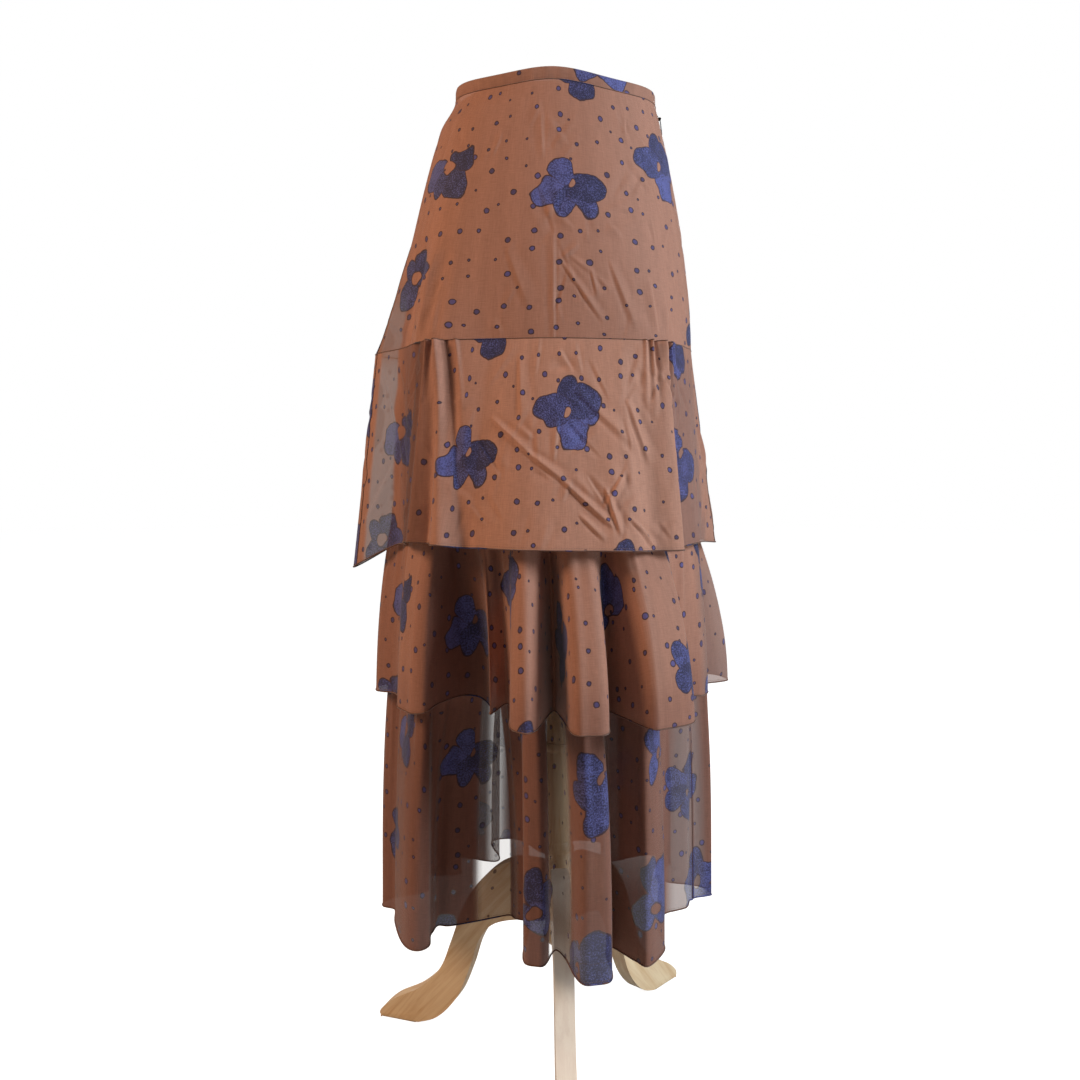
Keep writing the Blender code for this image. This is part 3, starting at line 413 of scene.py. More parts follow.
def on_curve(before, start, end, after, share):
    """A point from start to end on a smooth curve that also runs through the points before and after them."""
    bend = 2 * before - 5 * start + 4 * end - after
    twist = 3 * start - before - 3 * end + after
    return 0.5 * (2 * start + (end - before) * share + bend * share**2 + twist * share**3)


def through_round(values, steps):
    """A smooth closed curve through the values, with this many points for each of them."""
    before, after, later = (np.roll(values, by, 0) for by in (1, -1, -2))
    found = [on_curve(before, values, after, later, step / steps) for step in range(steps)]
    return np.stack(found, 1).reshape(-1, *values.shape[1:])


# ---------------------------------------------------------------- rings
def oval_radius(angle, half_width, front, back):
    """The radius of an oval whose depth in front differs from that behind."""
    side, ahead = np.sin(np.radians(angle)), np.cos(np.radians(angle))
    return 1.0 / np.hypot(side / half_width, ahead / np.where(ahead > 0, front, back))


def swung(angle, *columns):
    """How far a ring lies outside its oval, by the named columns and how much each counts."""
    total = 0.0
    for swing in SWINGS:
        reach = sum(getattr(swing, column) * share for column, share in columns)
        total = total + reach * np.exp(-((turned(angle - swing.angle, -180.0) / swing.width) ** 2))
    return total


def form_oval(z):
    """The form's half width and depths at height z."""
    heights, *ovals = np.array(FORM_SECTIONS)[::-1].T
    return [np.interp(z, heights, oval) for oval in ovals]


def waist_radius(angle, z):
    """The form's radius where cloth lies round its waist, which doesn't follow the form's rounded top."""
    return oval_radius(angle, *form_oval(np.minimum(z, FORM_SECTIONS[1].z)))


def waist_rise(angle):
    """How far the band's line lies above its mean height."""
    turn = np.radians(angle)
    return -WAIST_TILT * np.sin(turn) - WAIST_DIP * np.sin(2 * turn) ** 2


def yoke_radius(angle, share):
    """The yoke's radius at a share of the way from the band to its seam."""
    waist = waist_radius(angle, BAND_BOTTOM_Z + waist_rise(angle)) + WAIST_EASE + BAND_WALL
    spread = 1.0 - (1.0 - share) ** 1.7
    flare = share**FLARE_POWER * smooth_step(0.0, 0.12, share)
    reach = swung(angle, ("flare", flare), ("corner", share**CORNER_POWER))
    return mix(waist, oval_radius(angle, *YOKE_RING), spread) + reach


def base_top_radius(angle):
    free = oval_radius(angle, *YOKE_RING) + swung(angle, ("base_top", 1.0))
    return np.minimum(free, yoke_radius(angle, 1.0)) - LAYER_GAP


def base_low_radius(angle):
    return oval_radius(angle, *UNDERSKIRT_RING) + swung(angle, ("base_low", 1.0))


def read_edges(edges, angle, column):
    """A column of an Edge table at each angle, level at its ridges and troughs."""
    low = edges[0].angle
    rows = list(edges) + [edges[0]._replace(angle=low + 360.0)]
    angle = turned(np.asarray(angle, float), low)
    stops = np.array([row.angle for row in rows])
    values = np.array([getattr(row, column) for row in rows])
    index = np.clip(np.searchsorted(stops, angle, side="right") - 1, 0, len(rows) - 2)
    share = (angle - stops[index]) / (stops[index + 1] - stops[index])
    return mix(values[index], values[index + 1], eased(share))


def lower_seam_radius(angle):
    return read_edges(LOWER_SEAM_EDGES, angle, "radius")


def place(angle, radius, z):
    """Points round the skirt's axis."""
    turn = np.radians(angle)
    x, y = AXIS_X + radius * np.sin(turn), AXIS_Y - radius * np.cos(turn)
    return np.stack(np.broadcast_arrays(x, y, z), -1)


# ---------------------------------------------------------------- cloth layers, as grids of points
def plain_angles(count):
    """Angles all round from the left side seam, with the right side seam at the halfway one."""
    return -90.0 + 360.0 * np.arange(count) / count


def plain_steps(columns, rows):
    """The angles across a plain layer, and the shares of the way down it."""
    return plain_angles(columns)[None, :], np.linspace(0.0, 1.0, rows + 1)[:, None]


def yoke_grid():
    angle, share = plain_steps(COLUMNS, PLAIN_ROWS)
    z = mix(BAND_BOTTOM_Z, YOKE_SEAM_Z, share) + waist_rise(angle) * (1.0 - share)
    grid = place(angle, yoke_radius(angle, share), z)
    height = crease_heights(YOKE_CREASES, angle, z, YOKE_MEAN_RADIUS)
    return stand_out(grid, height + crumple_heights(YOKE_CRUMPLE, angle, z, YOKE_MEAN_RADIUS))


def flounce_1_grid():
    angle, share = plain_steps(COLUMNS, PLAIN_ROWS)
    z = mix(YOKE_SEAM_Z, FLOUNCE_1_HEM_Z - read_edges(FLOUNCE_1_EDGES, angle, "drop"), share)
    radius = mix(yoke_radius(angle, 1.0), read_edges(FLOUNCE_1_EDGES, angle, "radius"), share)
    grid = place(angle, radius, z)
    height = fan_heights(angle, share) + crease_heights(FLOUNCE_1_CREASES, angle, z, FLOUNCE_1_MEAN_RADIUS)
    return stand_out(grid, height + crumple_heights(FLOUNCE_1_CRUMPLE, angle, z, FLOUNCE_1_MEAN_RADIUS))


def underskirt_upper_grid():
    angle, share = plain_steps(*UNDERSKIRT_STEPS)
    radius = mix(base_top_radius(angle), base_low_radius(angle), 1.0 - (1.0 - share) ** 2)
    return place(angle, radius, mix(YOKE_SEAM_Z - LAYER_DROP, FLOUNCE_2_SEAM_Z, share))


def underskirt_lower_grid():
    angle, share = plain_steps(*UNDERSKIRT_STEPS)
    top = base_low_radius(angle) - LAYER_GAP
    radius = mix(top, lower_seam_radius(angle), 1.0 - (1.0 - share) ** 1.6)
    return place(angle, radius, mix(FLOUNCE_2_SEAM_Z - LAYER_DROP, FLOUNCE_3_SEAM_Z, share))


def fold_columns(folds):
    """Each column of a folded flounce: its angle at the seam, and its angle, radius and rise at the hem."""
    columns = []
    for fold, following in zip(folds, folds[1:] + folds[:1]):
        crest = (fold.seam, fold.crest, fold.reach, fold.rise)
        valley = (fold.valley_seam, fold.valley, fold.depth, fold.lift)
        next_seam = turned(following.seam, fold.valley_seam)
        next_hem = turned(following.crest, fold.valley - TURN_BACK)
        next_crest = (next_seam, next_hem, following.reach, following.rise)
        for start, end, fallen in (
            (crest, valley, lambda share: eased(share) ** fold.fullness),
            (valley, next_crest, lambda share: 1.0 - eased(1.0 - share) ** following.fullness),
        ):
            for share in np.arange(STEPS_TO_VALLEY) / STEPS_TO_VALLEY:
                shares = (share, steeper(share), fallen(share), fallen(share))
                columns.append([mix(*ends) for ends in zip(start, end, shares)])
    return np.array(columns)


def folded_grid(folds, rounded, span, seam_radius, gathering, rows):
    """A gathered flounce: fine gathers at its seam run out into the big folds of its hem."""
    seam_z, hem_z, spread = span
    columns = fold_columns(folds)
    for column, hem_place in rounded.items():
        columns[column, 1:3] = hem_place
    low = place(columns[:, 1], columns[:, 2], hem_z + columns[:, 3])
    low = through_round(low, POINTS_A_COLUMN)
    seam = np.append(columns[:, 0], columns[0, 0] + 360.0)
    seam = np.interp(np.arange(len(low)) / POINTS_A_COLUMN, np.arange(len(seam)), seam)
    top = place(seam, seam_radius(seam), seam_z)
    share = np.linspace(0.0, 1.0, rows + 1)[:, None]
    opened = 1.0 - (1.0 - share) ** spread
    grid = np.empty((rows + 1, len(low), 3))
    grid[..., :2] = mix(top[None, :, :2], low[None, :, :2], opened[..., None])
    grid[..., 2] = mix(top[None, :, 2], low[None, :, 2], share)
    return stand_out(grid, gather_heights(gathering, grid, share))


def outward(grid):
    """The direction out of the cloth at each point of a grid that goes all round."""
    along = np.roll(grid, -1, 1) - np.roll(grid, 1, 1)
    down = np.gradient(grid, axis=0)
    normal = np.cross(down, along)
    return normal / np.maximum(np.linalg.norm(normal, axis=-1, keepdims=True), 1e-12)


def stand_out(grid, height):
    return grid + outward(grid) * height[..., None]


def crease_heights(creases, angle, z, radius):
    """Soft ridges, each with a shallow trough beside it, that fade towards both ends."""
    total = np.zeros(np.broadcast_shapes(np.shape(angle), np.shape(z)))
    for crease in creases:
        middle = (crease.angle_a + crease.angle_b) / 2
        across = np.radians(turned(angle - middle, -180.0)) * radius
        start = np.array([math.radians(crease.angle_a - middle) * radius, crease.z_a])
        end = np.array([math.radians(crease.angle_b - middle) * radius, crease.z_b])
        length = np.linalg.norm(end - start)
        run = (end - start) / length
        along = ((across - start[0]) * run[0] + (z - start[1]) * run[1]) / length
        aside = (across - start[0]) * run[1] - (z - start[1]) * run[0]
        # wider towards its end, steeper on one side, and with a trough 2.2 widths from its ridge
        width = crease.width * (0.7 + 0.6 * np.clip(along, 0.0, 1.0)) * np.where(aside > 0, 0.65, 1.5)
        fade = np.clip(4.2 * along * (1.0 - along), 0.0, 1.0) ** 0.8
        away = np.abs(aside) / width
        ridge = np.exp(-(away**1.5)) - 0.35 * np.exp(-((away - 2.2) ** 2))
        total = total + crease.rise * ridge * np.where((along > 0) & (along < 1), fade, 0.0)
    return total


def crumple_heights(crumple, angle, z, radius):
    """Slight creases anywhere on a layer, from a seeded draw."""
    draw = np.random.default_rng(crumple.seed)
    creases = []
    for _ in range(crumple.count):
        middle, height = draw.uniform(-90.0, 270.0), draw.uniform(crumple.low, crumple.high)
        length, lean = draw.uniform(0.02, 0.07), draw.normal(0.0, 0.6)
        turn = math.degrees(length / 2 * math.sin(lean) / radius)
        fall = length / 2 * math.cos(lean)
        rise = crumple.rise * draw.uniform(0.3, 1.0) * draw.choice((-1.0, 1.0))
        width = draw.uniform(0.0022, 0.0055)
        creases.append(Crease(middle - turn, height - fall, middle + turn, height + fall, width, rise))
    return crease_heights(creases, angle, z, radius)


def fan_heights(angle, share):
    """Flounce 1's ridges, fanning out below its gathers."""
    total = np.zeros(np.broadcast_shapes(np.shape(angle), np.shape(share)))
    for fan in FLOUNCE_1_FANS:
        reach = np.clip(share / fan.length, 0.0, 1.0)
        away = turned(angle - mix(fan.top_angle, fan.low_angle, share), -180.0)
        width = mix(fan.top_width, fan.low_width, share**0.8) * np.where(away < 0, fan.left, fan.right)
        height = mix(fan.top_height, fan.low_height, reach**0.7) * (1.0 - reach**6 * (fan.length < 1.0))
        total = total + height * np.exp(-((away / width) ** 2))
    return total


def gather_heights(gathering, grid, share):
    """Fine ridges at unequal distances round the seam, each as long as its own draw."""
    draw = np.random.default_rng(gathering.seed)
    seam_length = np.linalg.norm(np.roll(grid[0], -1, 0) - grid[0], axis=1)
    place_round = np.concatenate([[0.0], np.cumsum(seam_length)[:-1]])
    whole = seam_length.sum()
    total = np.zeros(grid.shape[:2])
    at = 0.0
    while at < whole:
        at += gathering.spacing * draw.uniform(0.55, 1.6)
        width = gathering.spacing * draw.uniform(0.28, 0.5)
        height = gathering.height * draw.uniform(0.35, 1.0)
        length = draw.uniform(gathering.shortest, gathering.longest) ** 1.5
        away = (place_round - at + whole / 2) % whole - whole / 2
        lean = draw.uniform(-0.006, 0.006)
        fade = np.clip(1.0 - share / length, 0.0, 1.0) ** 1.3
        total += height * fade * np.exp(-(((away[None, :] - lean * share) / (width * (1 + share))) ** 2))
    return total


def amounts(places, marks, heights):
    """How thin a layer is, or how much shade or light is painted into its colour, at each point, 0 for plain.
    Places fade out at their edges.
    """
    total = np.zeros(heights.shape)
    for thin in places:
        away = np.abs(marks - thin.middle) / thin.width
        across = 1.0 - smooth_step(thin.sharp, 1.90 - thin.sharp, away)
        down = smooth_step(thin.low - 0.02, thin.low + 0.01, heights)
        down = down * (1.0 - smooth_step(thin.high - 0.03, thin.high + 0.03, heights))
        here = thin.amount * across[None, :] * down
        total = np.where(np.abs(here) > np.abs(total), here, total)
    return total


def cut_coordinates(grid, measured_row):
    """Where each point lies on the flat cut: along one row from the left side seam, and down the cloth."""
    ring = np.linalg.norm(np.diff(grid[measured_row], axis=0, append=grid[measured_row, :1]), axis=1)
    along = np.concatenate([[0.0], np.cumsum(ring)])
    down = np.linalg.norm(np.diff(grid, axis=0), axis=2)
    fallen = np.concatenate([np.zeros((1, grid.shape[1])), np.cumsum(down, axis=0)])
    return along, fallen


# ---------------------------------------------------------------- mesh work
STITCH_PITCH, THREAD_RADIUS = 0.0027, 0.00016
STITCH_LIFTS = (-0.0001, 0.00022, -0.0001)  # a stitch's start, middle and end, out of the cloth
MERGE_DISTANCE = 0.00002


class Faces:
    """Points, faces, cut coordinates and material numbers of one piece, gathered before its mesh is made."""

    def __init__(self):
        self.points, self.faces, self.cuts, self.finishes, self.sheer, self.single = [], [], [], [], [], []

    def add_grid(self, grid, cut, finish=0, closed=False, sheer=None, single=None):
        """Faces through rows of points. cut holds each point's place on the flat cut."""
        rows, columns = grid.shape[:2]
        first = len(self.points)
        self.points += [tuple(point) for point in grid.reshape(-1, 3)]
        self.cuts += [tuple(on_cut) for on_cut in cut.reshape(-1, 2)]
        self.sheer += list(np.zeros(rows * columns) if sheer is None else sheer.ravel())
        self.single += list(np.zeros(rows * columns) if single is None else single.ravel())
        for row in range(rows - 1):
            for column in range(columns if closed else columns - 1):
                a, b = first + row * columns + column, first + row * columns + (column + 1) % columns
                self.faces.append((a, a + columns, b + columns, b))
                self.finishes.append(finish)

    def add_cord(self, line, radius, along, finish=0, sides=7, lift=None):
        """A round cord that follows a line of points, such as a rolled hem or a seam's ridge."""
        line = np.asarray(line)
        run = np.gradient(line, axis=0)
        run /= np.maximum(np.linalg.norm(run, axis=1, keepdims=True), 1e-12)
        up = np.broadcast_to(np.array([0.0, 0.0, 1.0]) if lift is None else lift, line.shape)
        aside = np.cross(run, up)
        aside /= np.maximum(np.linalg.norm(aside, axis=1, keepdims=True), 1e-12)
        over = np.cross(aside, run)
        turn = 2 * np.pi * np.arange(sides) / sides
        out = radius * np.cos(turn)[:, None, None] * aside[None]
        ring = line[None] + out + radius * np.sin(turn)[:, None, None] * over[None]
        cut = np.stack(np.broadcast_arrays(along[None, :], (turn * radius)[:, None]), -1)
        ring, cut = np.concatenate([ring, ring[:1]]), np.concatenate([cut, cut[:1]])
        self.add_grid(ring.transpose(1, 0, 2)[:, ::-1], cut.transpose(1, 0, 2)[:, ::-1], finish)

    def add_stitches(self, line, out, along, finish):
        """A row of short raised stitches along a line of points. out is the way out of the cloth at each."""
        run = np.concatenate([[0.0], np.cumsum(np.linalg.norm(np.diff(line, axis=0), axis=1))])
        for start in np.arange(STITCH_PITCH, run[-1] - STITCH_PITCH, STITCH_PITCH):
            at = start + np.array([0.0, 0.3, 0.7]) * STITCH_PITCH
            middle = [np.interp(at, run, column) for column in (*line.T, *out.T, along)]
            lift = np.stack(middle[3:6], -1)
            points = np.stack(middle[:3], -1) + lift * np.array(STITCH_LIFTS)[:, None]
            self.add_cord(points, THREAD_RADIUS, middle[6], finish, sides=4, lift=lift)

    def make(self, name, *surfaces):
        data = bpy.data.meshes.new(name)
        data.from_pydata(self.points, [], self.faces)
        data.polygons.foreach_set("material_index", self.finishes)
        layer = data.uv_layers.new(name="cut")
        corners = np.empty(len(data.loops), np.int32)
        data.loops.foreach_get("vertex_index", corners)
        layer.data.foreach_set("uv", np.array(self.cuts, np.float32)[corners].ravel())
        # the sheer amounts, and how much shade, or light below 0, is painted into the cloth's colour
        for label, values in (("sheer", self.sheer), ("single", self.single)):
            data.attributes.new(label, "FLOAT", "POINT").data.foreach_set("value", values)
        for surface in surfaces:
            data.materials.append(surface)
        data.shade_smooth()
        data.validate()
        return add_piece(name, data)


def add_piece(name, data):
    piece = bpy.data.objects.new(name, data)
    bpy.context.scene.collection.objects.link(piece)
    return piece


def merge_close(piece):
    shape = bmesh.new()
    shape.from_mesh(piece.data)
    bmesh.ops.remove_doubles(shape, verts=shape.verts, dist=MERGE_DISTANCE)
    shape.to_mesh(piece.data)
    shape.free()


# ---------------------------------------------------------------- shader work
HALF = (0.5, 0.5, 0.5)


class Nodes:
    """Short names for the nodes of one tree."""

    def __init__(self, tree):
        self.tree = tree

    def add(self, kind, **settings):
        node = self.tree.nodes.new(kind)
        for key, value in settings.items():
            setattr(node, key, value)
        return node

    def join(self, value, socket):
        """Links a socket to another, or sets its value. A colour needs no alpha."""
        if isinstance(value, bpy.types.NodeSocket):
            self.tree.links.new(value, socket)
        elif value is not None:
            socket.default_value = (*value, 1.0) if socket.type == "RGBA" and len(value) == 3 else value

    def math(self, operation, a, b=None, clamp=False):
        node = self.add("ShaderNodeMath", operation=operation, use_clamp=clamp)
        self.join(a, node.inputs[0])
        self.join(b, node.inputs[1])
        return node.outputs[0]

    def times(self, a, b, clamp=False):
        return self.math("MULTIPLY", a, b, clamp)

    def plus(self, a, b, clamp=False):
        return self.math("ADD", a, b, clamp)

    def minus(self, a, b):
        return self.math("SUBTRACT", a, b)

    def wave(self, value, pitch):
        """A sine along a length."""
        return self.math("SINE", self.times(value, 2 * math.pi / pitch))

    def vector(self, operation, a, b=None):
        node = self.add("ShaderNodeVectorMath", operation=operation)
        self.join(a, node.inputs[0])
        self.join(b, node.inputs["Scale" if operation == "SCALE" else 1])
        return node.outputs["Value" if operation in ("LENGTH", "DOT_PRODUCT") else "Vector"]

    def shaken(self, where, colour, amount):
        """A place moved by a colour, up to half the amount each way."""
        offset = self.vector("SUBTRACT", colour, HALF)
        return self.vector("ADD", where, self.vector("SCALE", offset, amount))

    def step(self, low, high, value):
        """0 below low and 1 above high, smooth between them."""
        node = self.add("ShaderNodeMapRange", interpolation_type="SMOOTHSTEP")
        for socket, given in zip(node.inputs, (value, low, high)):
            self.join(given, socket)
        return node.outputs[0]

    def span(self, value, low, high, clamp=True):
        """A value from 0 to 1, taken to low to high."""
        node = self.add("ShaderNodeMapRange", clamp=clamp)
        for name, given in (("Value", value), ("To Min", low), ("To Max", high)):
            self.join(given, node.inputs[name])
        return node.outputs[0]

    def blend(self, share, a, b):
        """a where share is 0, b where it is 1."""
        node = self.add("ShaderNodeMix")
        for value, socket in ((share, 0), (a, 2), (b, 3)):
            self.join(value, node.inputs[socket])
        return node.outputs[0]

    def colour(self, share, a, b, blend="MIX"):
        node = self.add("ShaderNodeMix", data_type="RGBA", blend_type=blend)
        for value, socket in ((share, 0), (a, 6), (b, 7)):
            self.join(value, node.inputs[socket])
        return node.outputs[2]

    def noise(self, where, scale, detail=2.0, roughness=0.5):
        """(value, colour) of a noise of this scale."""
        node = self.add("ShaderNodeTexNoise")
        given = {"Vector": where, "Scale": scale, "Detail": detail, "Roughness": roughness}
        for name, value in given.items():
            self.join(value, node.inputs[name])
        return node.outputs["Fac"], node.outputs["Color"]

    def random(self, cell):
        """A colour that is the same all over one cell."""
        node = self.add("ShaderNodeTexWhiteNoise", noise_dimensions="2D")
        self.join(cell, node.inputs["Vector"])
        return node.outputs["Color"]

    def own_place(self):
        """The place on the piece itself."""
        return self.add("ShaderNodeTexCoord").outputs["Object"]

    def place_on_cut(self):
        """The place on the flat cut."""
        return self.add("ShaderNodeUVMap", uv_map="cut").outputs[0]

    def apart(self, where):
        node = self.add("ShaderNodeSeparateXYZ")
        self.join(where, node.inputs[0])
        return node.outputs

    def together(self, x, y, z=0.0):
        node = self.add("ShaderNodeCombineXYZ")
        for value, socket in zip((x, y, z), node.inputs):
            self.join(value, socket)
        return node.outputs[0]


PRINT_BLUR = 0.0003  # half the width over which a motif's edge fades
PETALS, PETAL_TURN = 5, 1.2566  # the turn from one petal to the next, in radians
LONG_PETAL, MISSING_PETAL = 0, 2  # on some flowers one stands further out, and another isn't there
THREAD_PITCH = 0.00055  # two threads of the weave
KINDS = {"colour": "NodeSocketColor", "value": "NodeSocketFloat", "place": "NodeSocketVector"}


def shader_group(name, takes, gives):
    """Turns a function that joins up a group's nodes into one that gives the group, built only once."""

    def wrap(join_up):
        def group():
            if name not in bpy.data.node_groups:
                tree = bpy.data.node_groups.new(name, "ShaderNodeTree")
                for sockets, way in ((takes, "INPUT"), (gives, "OUTPUT")):
                    for label, kind in sockets.items():
                        tree.interface.new_socket(label, in_out=way, socket_type=KINDS[kind])
                nodes = Nodes(tree)
                join_up(nodes, nodes.add("NodeGroupInput").outputs, nodes.add("NodeGroupOutput").inputs)
            return bpy.data.node_groups[name]

        return group

    return wrap


@shader_group("scattered dots", {"Cut": "place", "Spacing": "value"}, {"Dot": "value", "Centre": "value"})
def dots_group(nodes, taken, given):
    """Irregular dots of all sizes, a blot with a dark rim each."""
    spot = nodes.shaken(taken["Cut"], nodes.noise(taken["Cut"], 260.0, 1.0)[1], 0.0016)
    cells = nodes.add("ShaderNodeTexVoronoi", voronoi_dimensions="2D", feature="F1")
    nodes.join(spot, cells.inputs["Vector"])
    nodes.join(nodes.math("DIVIDE", 1.0, taken["Spacing"]), cells.inputs["Scale"])
    cells.inputs["Randomness"].default_value = 0.74
    draw = nodes.apart(cells.outputs["Color"])
    away = nodes.times(cells.outputs["Distance"], taken["Spacing"])
    radius = nodes.span(nodes.math("POWER", draw[0], 1.3), 0.0017, 0.0041)
    inside = nodes.minus(radius, away)
    nodes.join(nodes.step(-PRINT_BLUR, PRINT_BLUR, inside), given["Dot"])
    core = nodes.step(0.0008, 0.0017, inside)
    nodes.join(nodes.times(core, nodes.span(draw[1], 0.35, 1.0)), given["Centre"])


@shader_group(
    "blotchy flowers",
    {"Cut": "place", "Spacing": "value"},
    {"Flower": "value", "Rim": "value", "Tone": "value"},
)
def flowers_group(nodes, taken, given):
    """Blotchy flowers of four or five round petals laid over each other, scattered in a half-drop repeat."""
    # the cell of the half-drop repeat
    spacing = nodes.together(taken["Spacing"], taken["Spacing"], 1.0)
    cut = nodes.apart(nodes.vector("DIVIDE", taken["Cut"], spacing))
    column = nodes.math("FLOOR", cut[0])
    dropped = nodes.plus(cut[1], nodes.times(column, 0.5))
    cell = nodes.together(column, nodes.math("FLOOR", dropped))
    draw = nodes.apart(nodes.random(cell))
    draw_more = nodes.apart(nodes.random(nodes.vector("ADD", cell, (37.0, 11.0, 0.0))))
    x = nodes.minus(nodes.math("FRACT", cut[0]), nodes.span(draw[0], 0.32, 0.68))
    y = nodes.minus(nodes.math("FRACT", dropped), nodes.span(draw[1], 0.30, 0.70))
    local = nodes.vector("SCALE", nodes.together(x, y), taken["Spacing"])
    # a wavering outline
    local = nodes.shaken(local, nodes.noise(taken["Cut"], 42.0, 0.0)[1], 0.016)
    local = nodes.shaken(local, nodes.noise(taken["Cut"], 150.0, 1.0)[1], 0.0022)
    # petals one over the other, each a round blot of its own size, distance and tone
    union, overlap, tone = -1.0, 0.0, 0.0
    for petal in range(PETALS):
        seed = nodes.vector("ADD", cell, (petal * 5.0 + 3.0, petal * 7.0, 0.0))
        own = nodes.apart(nodes.random(seed))
        heading = petal * PETAL_TURN
        heading = nodes.span(own[0], heading - 0.45, heading + 0.45)
        heading = nodes.plus(nodes.times(draw_more[0], 2 * math.pi), heading)
        out = nodes.span(own[1], 0.0165, 0.0260)
        if petal == LONG_PETAL:
            out = nodes.plus(out, nodes.times(nodes.math("GREATER_THAN", draw_more[2], 0.5), 0.009))
        radius = nodes.span(own[2], 0.0135, 0.0215)
        if petal == MISSING_PETAL:
            radius = nodes.times(radius, nodes.math("GREATER_THAN", draw[2], 0.55))
        middle = nodes.together(nodes.math("COSINE", heading), nodes.math("SINE", heading))
        offset = nodes.vector("SUBTRACT", local, nodes.vector("SCALE", middle, out))
        along = nodes.times(nodes.vector("DOT_PRODUCT", offset, middle), 0.22)
        shorter = nodes.vector("SUBTRACT", offset, nodes.vector("SCALE", middle, along))
        inside = nodes.minus(radius, nodes.vector("LENGTH", shorter))
        mask = nodes.step(-PRINT_BLUR, PRINT_BLUR, inside)
        edge = nodes.minus(1.0, nodes.step(0.0004, 0.0014, inside))
        overlap = nodes.blend(mask, overlap, nodes.times(edge, nodes.span(own[1], 0.0, 0.7)))
        union = nodes.math("MAXIMUM", union, inside)
        tone = nodes.blend(mask, tone, own[0])
    # the gap in the middle
    beside = nodes.vector("SCALE", nodes.vector("SUBTRACT", nodes.random(cell), HALF), 0.014)
    wide = nodes.together(nodes.span(draw[2], 0.55, 1.5), 1.0, 0.0)
    beside = nodes.vector("MULTIPLY", nodes.vector("SUBTRACT", local, beside), wide)
    clear = nodes.minus(nodes.vector("LENGTH", beside), nodes.span(draw_more[1], 0.0035, 0.0085))
    union = nodes.math("MINIMUM", union, clear)
    nodes.join(nodes.step(-PRINT_BLUR, PRINT_BLUR, union), given["Flower"])
    edge = nodes.minus(1.0, nodes.step(0.0007, 0.0019, union))
    nodes.join(nodes.math("MAXIMUM", overlap, edge), given["Rim"])
    # blots and grain in the ink
    grain = nodes.step(0.40, 0.64, nodes.noise(taken["Cut"], 520.0, 3.0, 0.8)[0])
    clouds = nodes.minus(nodes.noise(taken["Cut"], 80.0, 2.0)[0], 0.5)
    tone = nodes.plus(nodes.times(tone, 0.75), nodes.times(clouds, 1.2))
    tone = nodes.plus(tone, nodes.span(grain, -0.40, 0.62))
    nodes.join(nodes.times(tone, 1.0, clamp=True), given["Tone"])


@shader_group("crepe threads", {"Cut": "place"}, {"Height": "value", "Streak": "value"})
def crepe_group(nodes, taken, given):
    """The pebbled twist of georgette: its threads' height, and a slight unevenness of colour."""
    cut = nodes.apart(taken["Cut"])
    weave = nodes.times(nodes.times(nodes.wave(cut[0], THREAD_PITCH), nodes.wave(cut[1], THREAD_PITCH)), 0.25)
    twist = nodes.noise(taken["Cut"], 1400.0, 2.0, 0.6)[0]
    nodes.join(nodes.plus(weave, twist), given["Height"])
    drawn = nodes.vector("MULTIPLY", taken["Cut"], (1.0, 0.06, 1.0))
    wide = nodes.noise(drawn, 70.0, 3.0, 0.6)[0]
    thin = nodes.noise(drawn, 900.0, 2.0, 0.6)[0]
    across = nodes.noise(nodes.vector("MULTIPLY", taken["Cut"], (0.10, 1.0, 1.0)), 900.0, 2.0, 0.6)[0]
    slubs = nodes.times(nodes.plus(thin, across), 0.35)
    nodes.join(nodes.plus(nodes.times(wide, 0.30), slubs), given["Streak"])


@shader_group(
    "wood grain",
    {"Along": "place", "Light": "colour", "Dark": "colour"},
    {"Colour": "colour", "Height": "value", "Roughness": "value"},
)
def grain_group(nodes, taken, given):
    """Wood: long darker streaks and fine pores along the piece."""
    long = nodes.vector("MULTIPLY", taken["Along"], (1.0, 1.0, 0.07))
    warp = nodes.vector("SCALE", nodes.noise(long, 30.0, 2.0)[1], 0.03)
    long = nodes.vector("ADD", long, warp)
    bands = nodes.noise(long, 110.0, 4.0, 0.6)[0]
    pores = nodes.noise(nodes.vector("MULTIPLY", taken["Along"], (1.0, 1.0, 0.03)), 900.0, 2.0, 0.6)[0]
    streak = nodes.step(0.36, 0.68, bands)
    fleck = nodes.step(0.60, 0.72, pores)
    tone = nodes.plus(nodes.times(streak, 0.65), nodes.times(fleck, 0.30), clamp=True)
    nodes.join(nodes.colour(tone, taken["Light"], taken["Dark"]), given["Colour"])
    nodes.join(nodes.minus(1.0, nodes.times(fleck, 0.8)), given["Height"])
    nodes.join(nodes.span(streak, 0.30, 0.44), given["Roughness"])


VEIL_SHARE = 0.6  # how far the thinnest cloth takes the veil's colour
PAINTED_SHADE_REDNESS = 0.90  # green and blue that painted shade leaves, so it makes the cloth redder as well as darker
THIN_PRINT_LOSS = 0.04  # of cover, from midway between the print's and the thin cloth's
ROLLED_TONE, DOUBLED_TONE, DOUBLED_COVER = 0.42, 0.85, 0.97  # of cloth that lies on itself


def new_material(name, roughness, **sockets):
    """A material with its Principled shader: (material, Nodes, shader)."""
    made = bpy.data.materials.new(name)
    made.use_nodes = True
    nodes = Nodes(made.node_tree)
    shader = made.node_tree.nodes["Principled BSDF"]
    shader.inputs["Roughness"].default_value = roughness
    for label, value in sockets.items():
        shader.inputs[label.replace("_", " ")].default_value = value
    return made, nodes, shader


def use_group(nodes, group, **values):
    node = nodes.add("ShaderNodeGroup", node_tree=group)
    for label, value in values.items():
        nodes.join(value, node.inputs[label])
    return node.outputs


